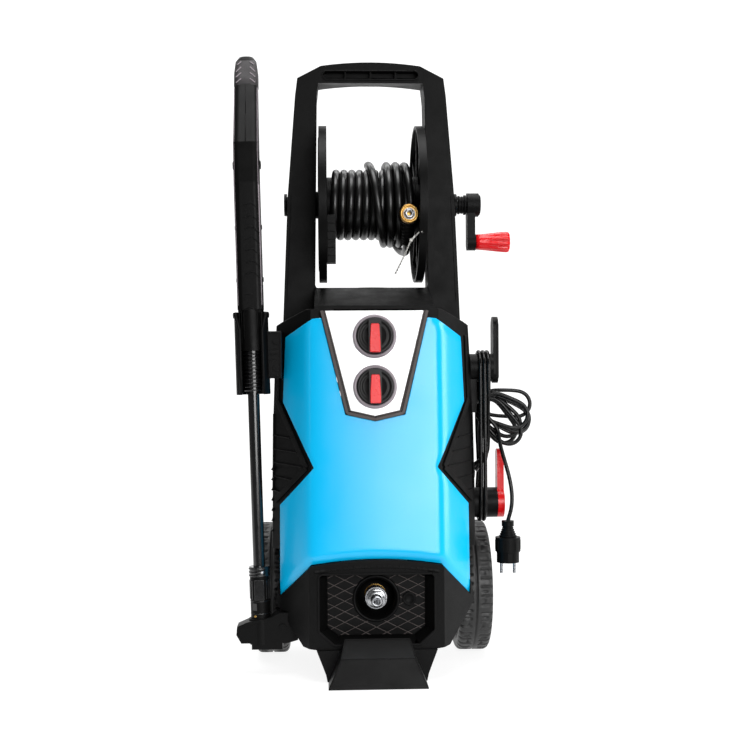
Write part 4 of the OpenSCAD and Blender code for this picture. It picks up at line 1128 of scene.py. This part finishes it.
def tyre(side, s):
    """Tyre with a centre groove, cross cuts and slots in its tread."""
    blocks, per_block = 46, 8
    half = [(72, 20), (80, 22.6), (86, 24.2), (88, 25.1), (92, 25), (95, 24), (97.4, 22.4),
            (99, 20.4), (99.8, 18), (100, 15.5), (100, 13), (100, 10.5), (100, 7.6), (100, 5.5),
            (100, 3.4), (100, 1.5), (98, 0.8)]
    profile = [(r, o) for r, o in half] + [(r, -o) for r, o in reversed(half)]
    shape = Shape()
    rings = []
    for k in range(blocks * per_block):
        a = 2 * math.pi * k / (blocks * per_block)
        ring = []
        for r, o in profile:
            reach = abs(o)
            phase = (k + (3 if o < 0 else 0)) % per_block
            kind = (k // per_block) % 3
            if 7 < reach < 24 and phase in (0, 1):
                r -= 3.2
            if kind == 1 and phase in (4, 5) and 9.5 < reach < 17:
                r -= 2.4
            if kind == 2 and phase in (3, 4, 5, 6) and 9.5 < reach < 12:
                r -= 2.4
            ring.append((s * WHEEL_X + o, WHEEL_Y + r * math.cos(a), WHEEL_Z + r * math.sin(a)))
        rings.append(ring)
    shape.rings(rings, closed=True, caps=False)
    made = shape.made(side + "_tyre_tread", side + "_wheel", TYRE, "tyre_black")
    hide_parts(side + "_tyre")
    trim = Shape()
    for x, out in ((s * 175.5, s), (s * 130.5, -s)):
        for r in (76, 84):
            trim.lathe([(r - 0.7, -2.5), (r - 0.5, 0.5), (r + 0.5, 0.5), (r + 0.7, -2.5)],
                       (x - out * (0.9 if r < 80 else -0.9), WHEEL_Y, WHEEL_Z), (out, 0, 0), 96)
    trim.made(side + "_tyre_rings", side + "_wheel", TYRE, "tyre_black")
    hub = Shape()
    hub.lathe([(13.5, -2), (13.5, 1.2), (12, 2.4), (6, 2.8), (0.3, 2.8)], (s * 181.6, WHEEL_Y, WHEEL_Z),
              (s, 0, 0), 48)
    hub.made(side + "_axle_cap", "root", BLACK, "black_shell")


tyre("left", -1)
tyre("right", 1)


# ---- Knob inserts ----

def on_dial(z, depth, outline):
    """An outline of (x, height) pairs round a dial's centre, at depth before the cover."""
    centre = Vector((0, face_y(z), z)) + FACE_OUT * depth
    rise = Vector((0, LEAN, 1)).normalized()
    return [centre + Vector((x, 0, 0)) + rise * v for x, v in outline]


def insert_details():
    slot = [(-5.9, -22.9), (5.9, -22.9), (5.9, 16.9), (-5.9, 16.9)]
    base = [(-9.2, -23.6), (9.2, -23.6), (9.2, 23.6), (-9.2, 23.6)]
    wedge = [(-6.6, -24.2), (6.6, -24.2), (7.6, -23), (7.4, -10), (6.0, 14.5), (5.0, 16.2),
             (-5.0, 16.2), (-6.0, 14.5), (-7.4, -10), (-7.6, -23)]
    for name, z in KNOBS:
        bed = Shape()
        bed.prism(on_dial(z, 12.5, slot), FACE_OUT * 4.4)
        bed.prism(on_dial(z, 8, base), FACE_OUT * 4)
        bed.made(name + "_insert_bed", name + "_dial", KNOB, "black_gloss", edge=0.4)
        red = Shape()
        red.prism(on_dial(z, 12.8, wedge), FACE_OUT * 6.2)
        made = red.made(name + "_red_insert", name + "_dial", RED, "red_plastic", edge=1.6)
        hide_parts(name + "_pointer")


insert_details()


# ---- Front lip, pocket and foot ----

def front_details():
    lip = Shape()
    xs = [-88 + 8 * k for k in range(23)]
    for x, ahead in zip(xs, xs[1:]):
        z0, z1 = (166 - 8 * (v / 92) ** 2 for v in (x, ahead))
        lip.bar((x, -117.6, z0 - 5), (ahead, -117.6, z1 - 5), 7.5, 4.0, (0, -0.72, 0.7))
    lip.made("pocket_lip", "root", BLACK, "black_shell", edge=0.8)
    liner = Shape()
    for s in (-1, 1):
        liner.prism([(s * 81.6, -117.5, 68), (s * 81.6, -94.3, 68), (s * 69, -94.3, 68)],
                    (0, 0, 76))
        liner.prism([(s * 59, -117.5, 50.5), (s * 81, -117.5, 69), (s * 68, -94.3, 71),
                     (s * 52, -94.3, 58)], (0, 0.4, -1.6))
    liner.prism([(-60, -117.5, 50.4), (-60, -94.3, 50.4), (-52, -94.3, 60)], (112, 0, 0))
    liner.made("pocket_liner", "root", FINE_BLACK, "black_shell", edge=0.8)
    foot = Shape()
    # Raised border on the foot's sloping front, and the crease across it
    corners = [(66.5, -165.2, 3), (51, -155.3, 39.5), (45.5, -125, 59.6), (-45.5, -125, 59.6),
               (-51, -155.3, 39.5), (-66.5, -165.2, 3)]
    foot.run(corners, 1.8, 1.3, (0, -0.9, 0.4))
    foot.bar(corners[1], corners[4], 1.2, 1.2, (0, -0.8, 0.6))
    foot.made("foot_border", "root", BLACK, "black_shell", edge=0.5)


front_details()


# ---- Hooks, plug and strain relief ----

def right_side_details():
    plate = Shape()
    plate.prism([(185.2, -15.5, 424), (189.2, -15.5, 424), (189.2, -15.5, 504), (185.2, -15.5, 512)],
                (0, 1.2, 0))
    for z in (431, 501):
        plate.lathe([(0.3, 0.4), (6.5, 0.4), (7.6, 1.1), (8.6, 1.1), (9.2, 0.2), (9.2, -1)],
                    (189, 0, z), RIGHT, 40)
    plate.bar((189.2, 0, 445), (189.2, 0, 488), 16, 0.9, RIGHT)
    plate.made("upper_hook_face", "root", BLACK, "black_shell", edge=0.3)
    arm = Shape()
    arm.lathe([(0.3, 0.2), (7, 0.2), (8, 1.0), (10.4, 1.0), (11.2, 0.0), (11.2, -1)],
              (196.3, 0, 236), RIGHT, 48)
    arm.bar((196.4, 0, 256), (196.4, 0, 300), 12, 1.2, RIGHT)
    arm.made("red_arm_relief", "hook_arm", RED, "red_plastic", edge=0.4)
    neck = Shape()
    for k in range(5):
        z = 190.5 + 3 * k
        r = 12.3 - 4.6 * k / 4
        neck.lathe([(r - 1.2, -1.1), (r + 0.5, -0.9), (r + 0.7, 0), (r + 0.5, 0.9), (r - 1.2, 1.1)],
                   (PLUG_X, PLUG_Y, z), UP, 40)
    neck.knurl(12, (PLUG_X, PLUG_Y, 171), (PLUG_X, PLUG_Y, 185), 18.4, 1.8, 1.2)
    neck.bar((PLUG_X, -58.6, 154), (PLUG_X, -58.6, 167), 6, 1.6, FRONT)
    neck.made("plug_ribs", "root", BLACK, "cord_black", edge=0.3)
    relief = Shape()
    start, end = Vector(LEAD_ROUTE[0]), Vector(LEAD_ROUTE[3])
    for k in range(5):
        p = start + (end - start) * (0.1 + 0.14 * k)
        r = 6.6 - 0.6 * k
        relief.lathe([(3.2, -1), (r, -0.9), (r + 0.3, 0), (r, 0.9), (3.2, 1)], p, end - start, 28)
    relief.made("strain_relief_ribs", "root", CORD, "cord_black")


right_side_details()


# ---- Floor and light ----

def studio():
    """A pale floor that curves up into a pale wall."""
    profile = [(-0.55, 0.0)]
    for k in range(13):
        a = math.pi / 2 * k / 12
        profile.append((2.2 + 1.2 * math.sin(a), 1.2 - 1.2 * math.cos(a)))
    profile.append((3.4, 5.0))
    verts = [(x, y, z - 0.0006) for y, z in profile for x in (-2.6, 2.6)]
    faces = [(2 * i, 2 * i + 1, 2 * i + 3, 2 * i + 2) for i in range(len(profile) - 1)]
    mesh = bpy.data.meshes.new("studio_floor")
    mesh.from_pydata(verts, [], faces)
    g = Graph("studio_paper")
    g.put("Base Color", g.mix(g.spread(g.noise(1.2, 3.0, 0.5), 0, 1), linear(120, 120, 120),
                              linear(126, 126, 126)))
    g.put("Roughness", 0.9)
    g.put("Specular IOR Level", 0.1)
    g.put("Emission Color", (1, 1, 1, 1))
    g.put("Emission Strength", 0.88)
    mesh.materials.append(g.material)
    shade_smooth(mesh)
    linked("studio_floor", mesh)


def area_light(name, place, target, size, power):
    lamp = bpy.data.lights.new(name, "AREA")
    lamp.shape = "RECTANGLE"
    lamp.size, lamp.size_y = size
    lamp.energy = power
    made = linked(name, lamp)
    made.location = place
    made.rotation_euler = (Vector(target) - Vector(place)).to_track_quat("-Z", "Y").to_euler()


studio()
world = bpy.context.scene.world or bpy.data.worlds.new("world")
bpy.context.scene.world = world
world.use_nodes = True
plain = world.node_tree.nodes["Background"]
plain.inputs["Color"].default_value = (1, 1, 1, 1)
plain.inputs["Strength"].default_value = 0.14
bpy.context.scene.view_settings.view_transform = "Standard"
area_light("key", (0.82, -2.4, 0.75), (0, 0, 0.45), (1.6, 1.3), 50)
area_light("side", (2.3, 0.0, 0.9), (0, 0, 0.45), (0.9, 1.8), 26)
area_light("fill", (-2.4, -1.6, 1.0), (0, 0, 0.45), (0.3, 1.2), 1)
area_light("top", (0.1, -0.3, 2.6), (0, 0, 0.4), (1.8, 1.4), 52)
area_light("backdrop", (0, 1.6, 3.0), (0, 3.2, 0.6), (5.0, 1.0), 120)
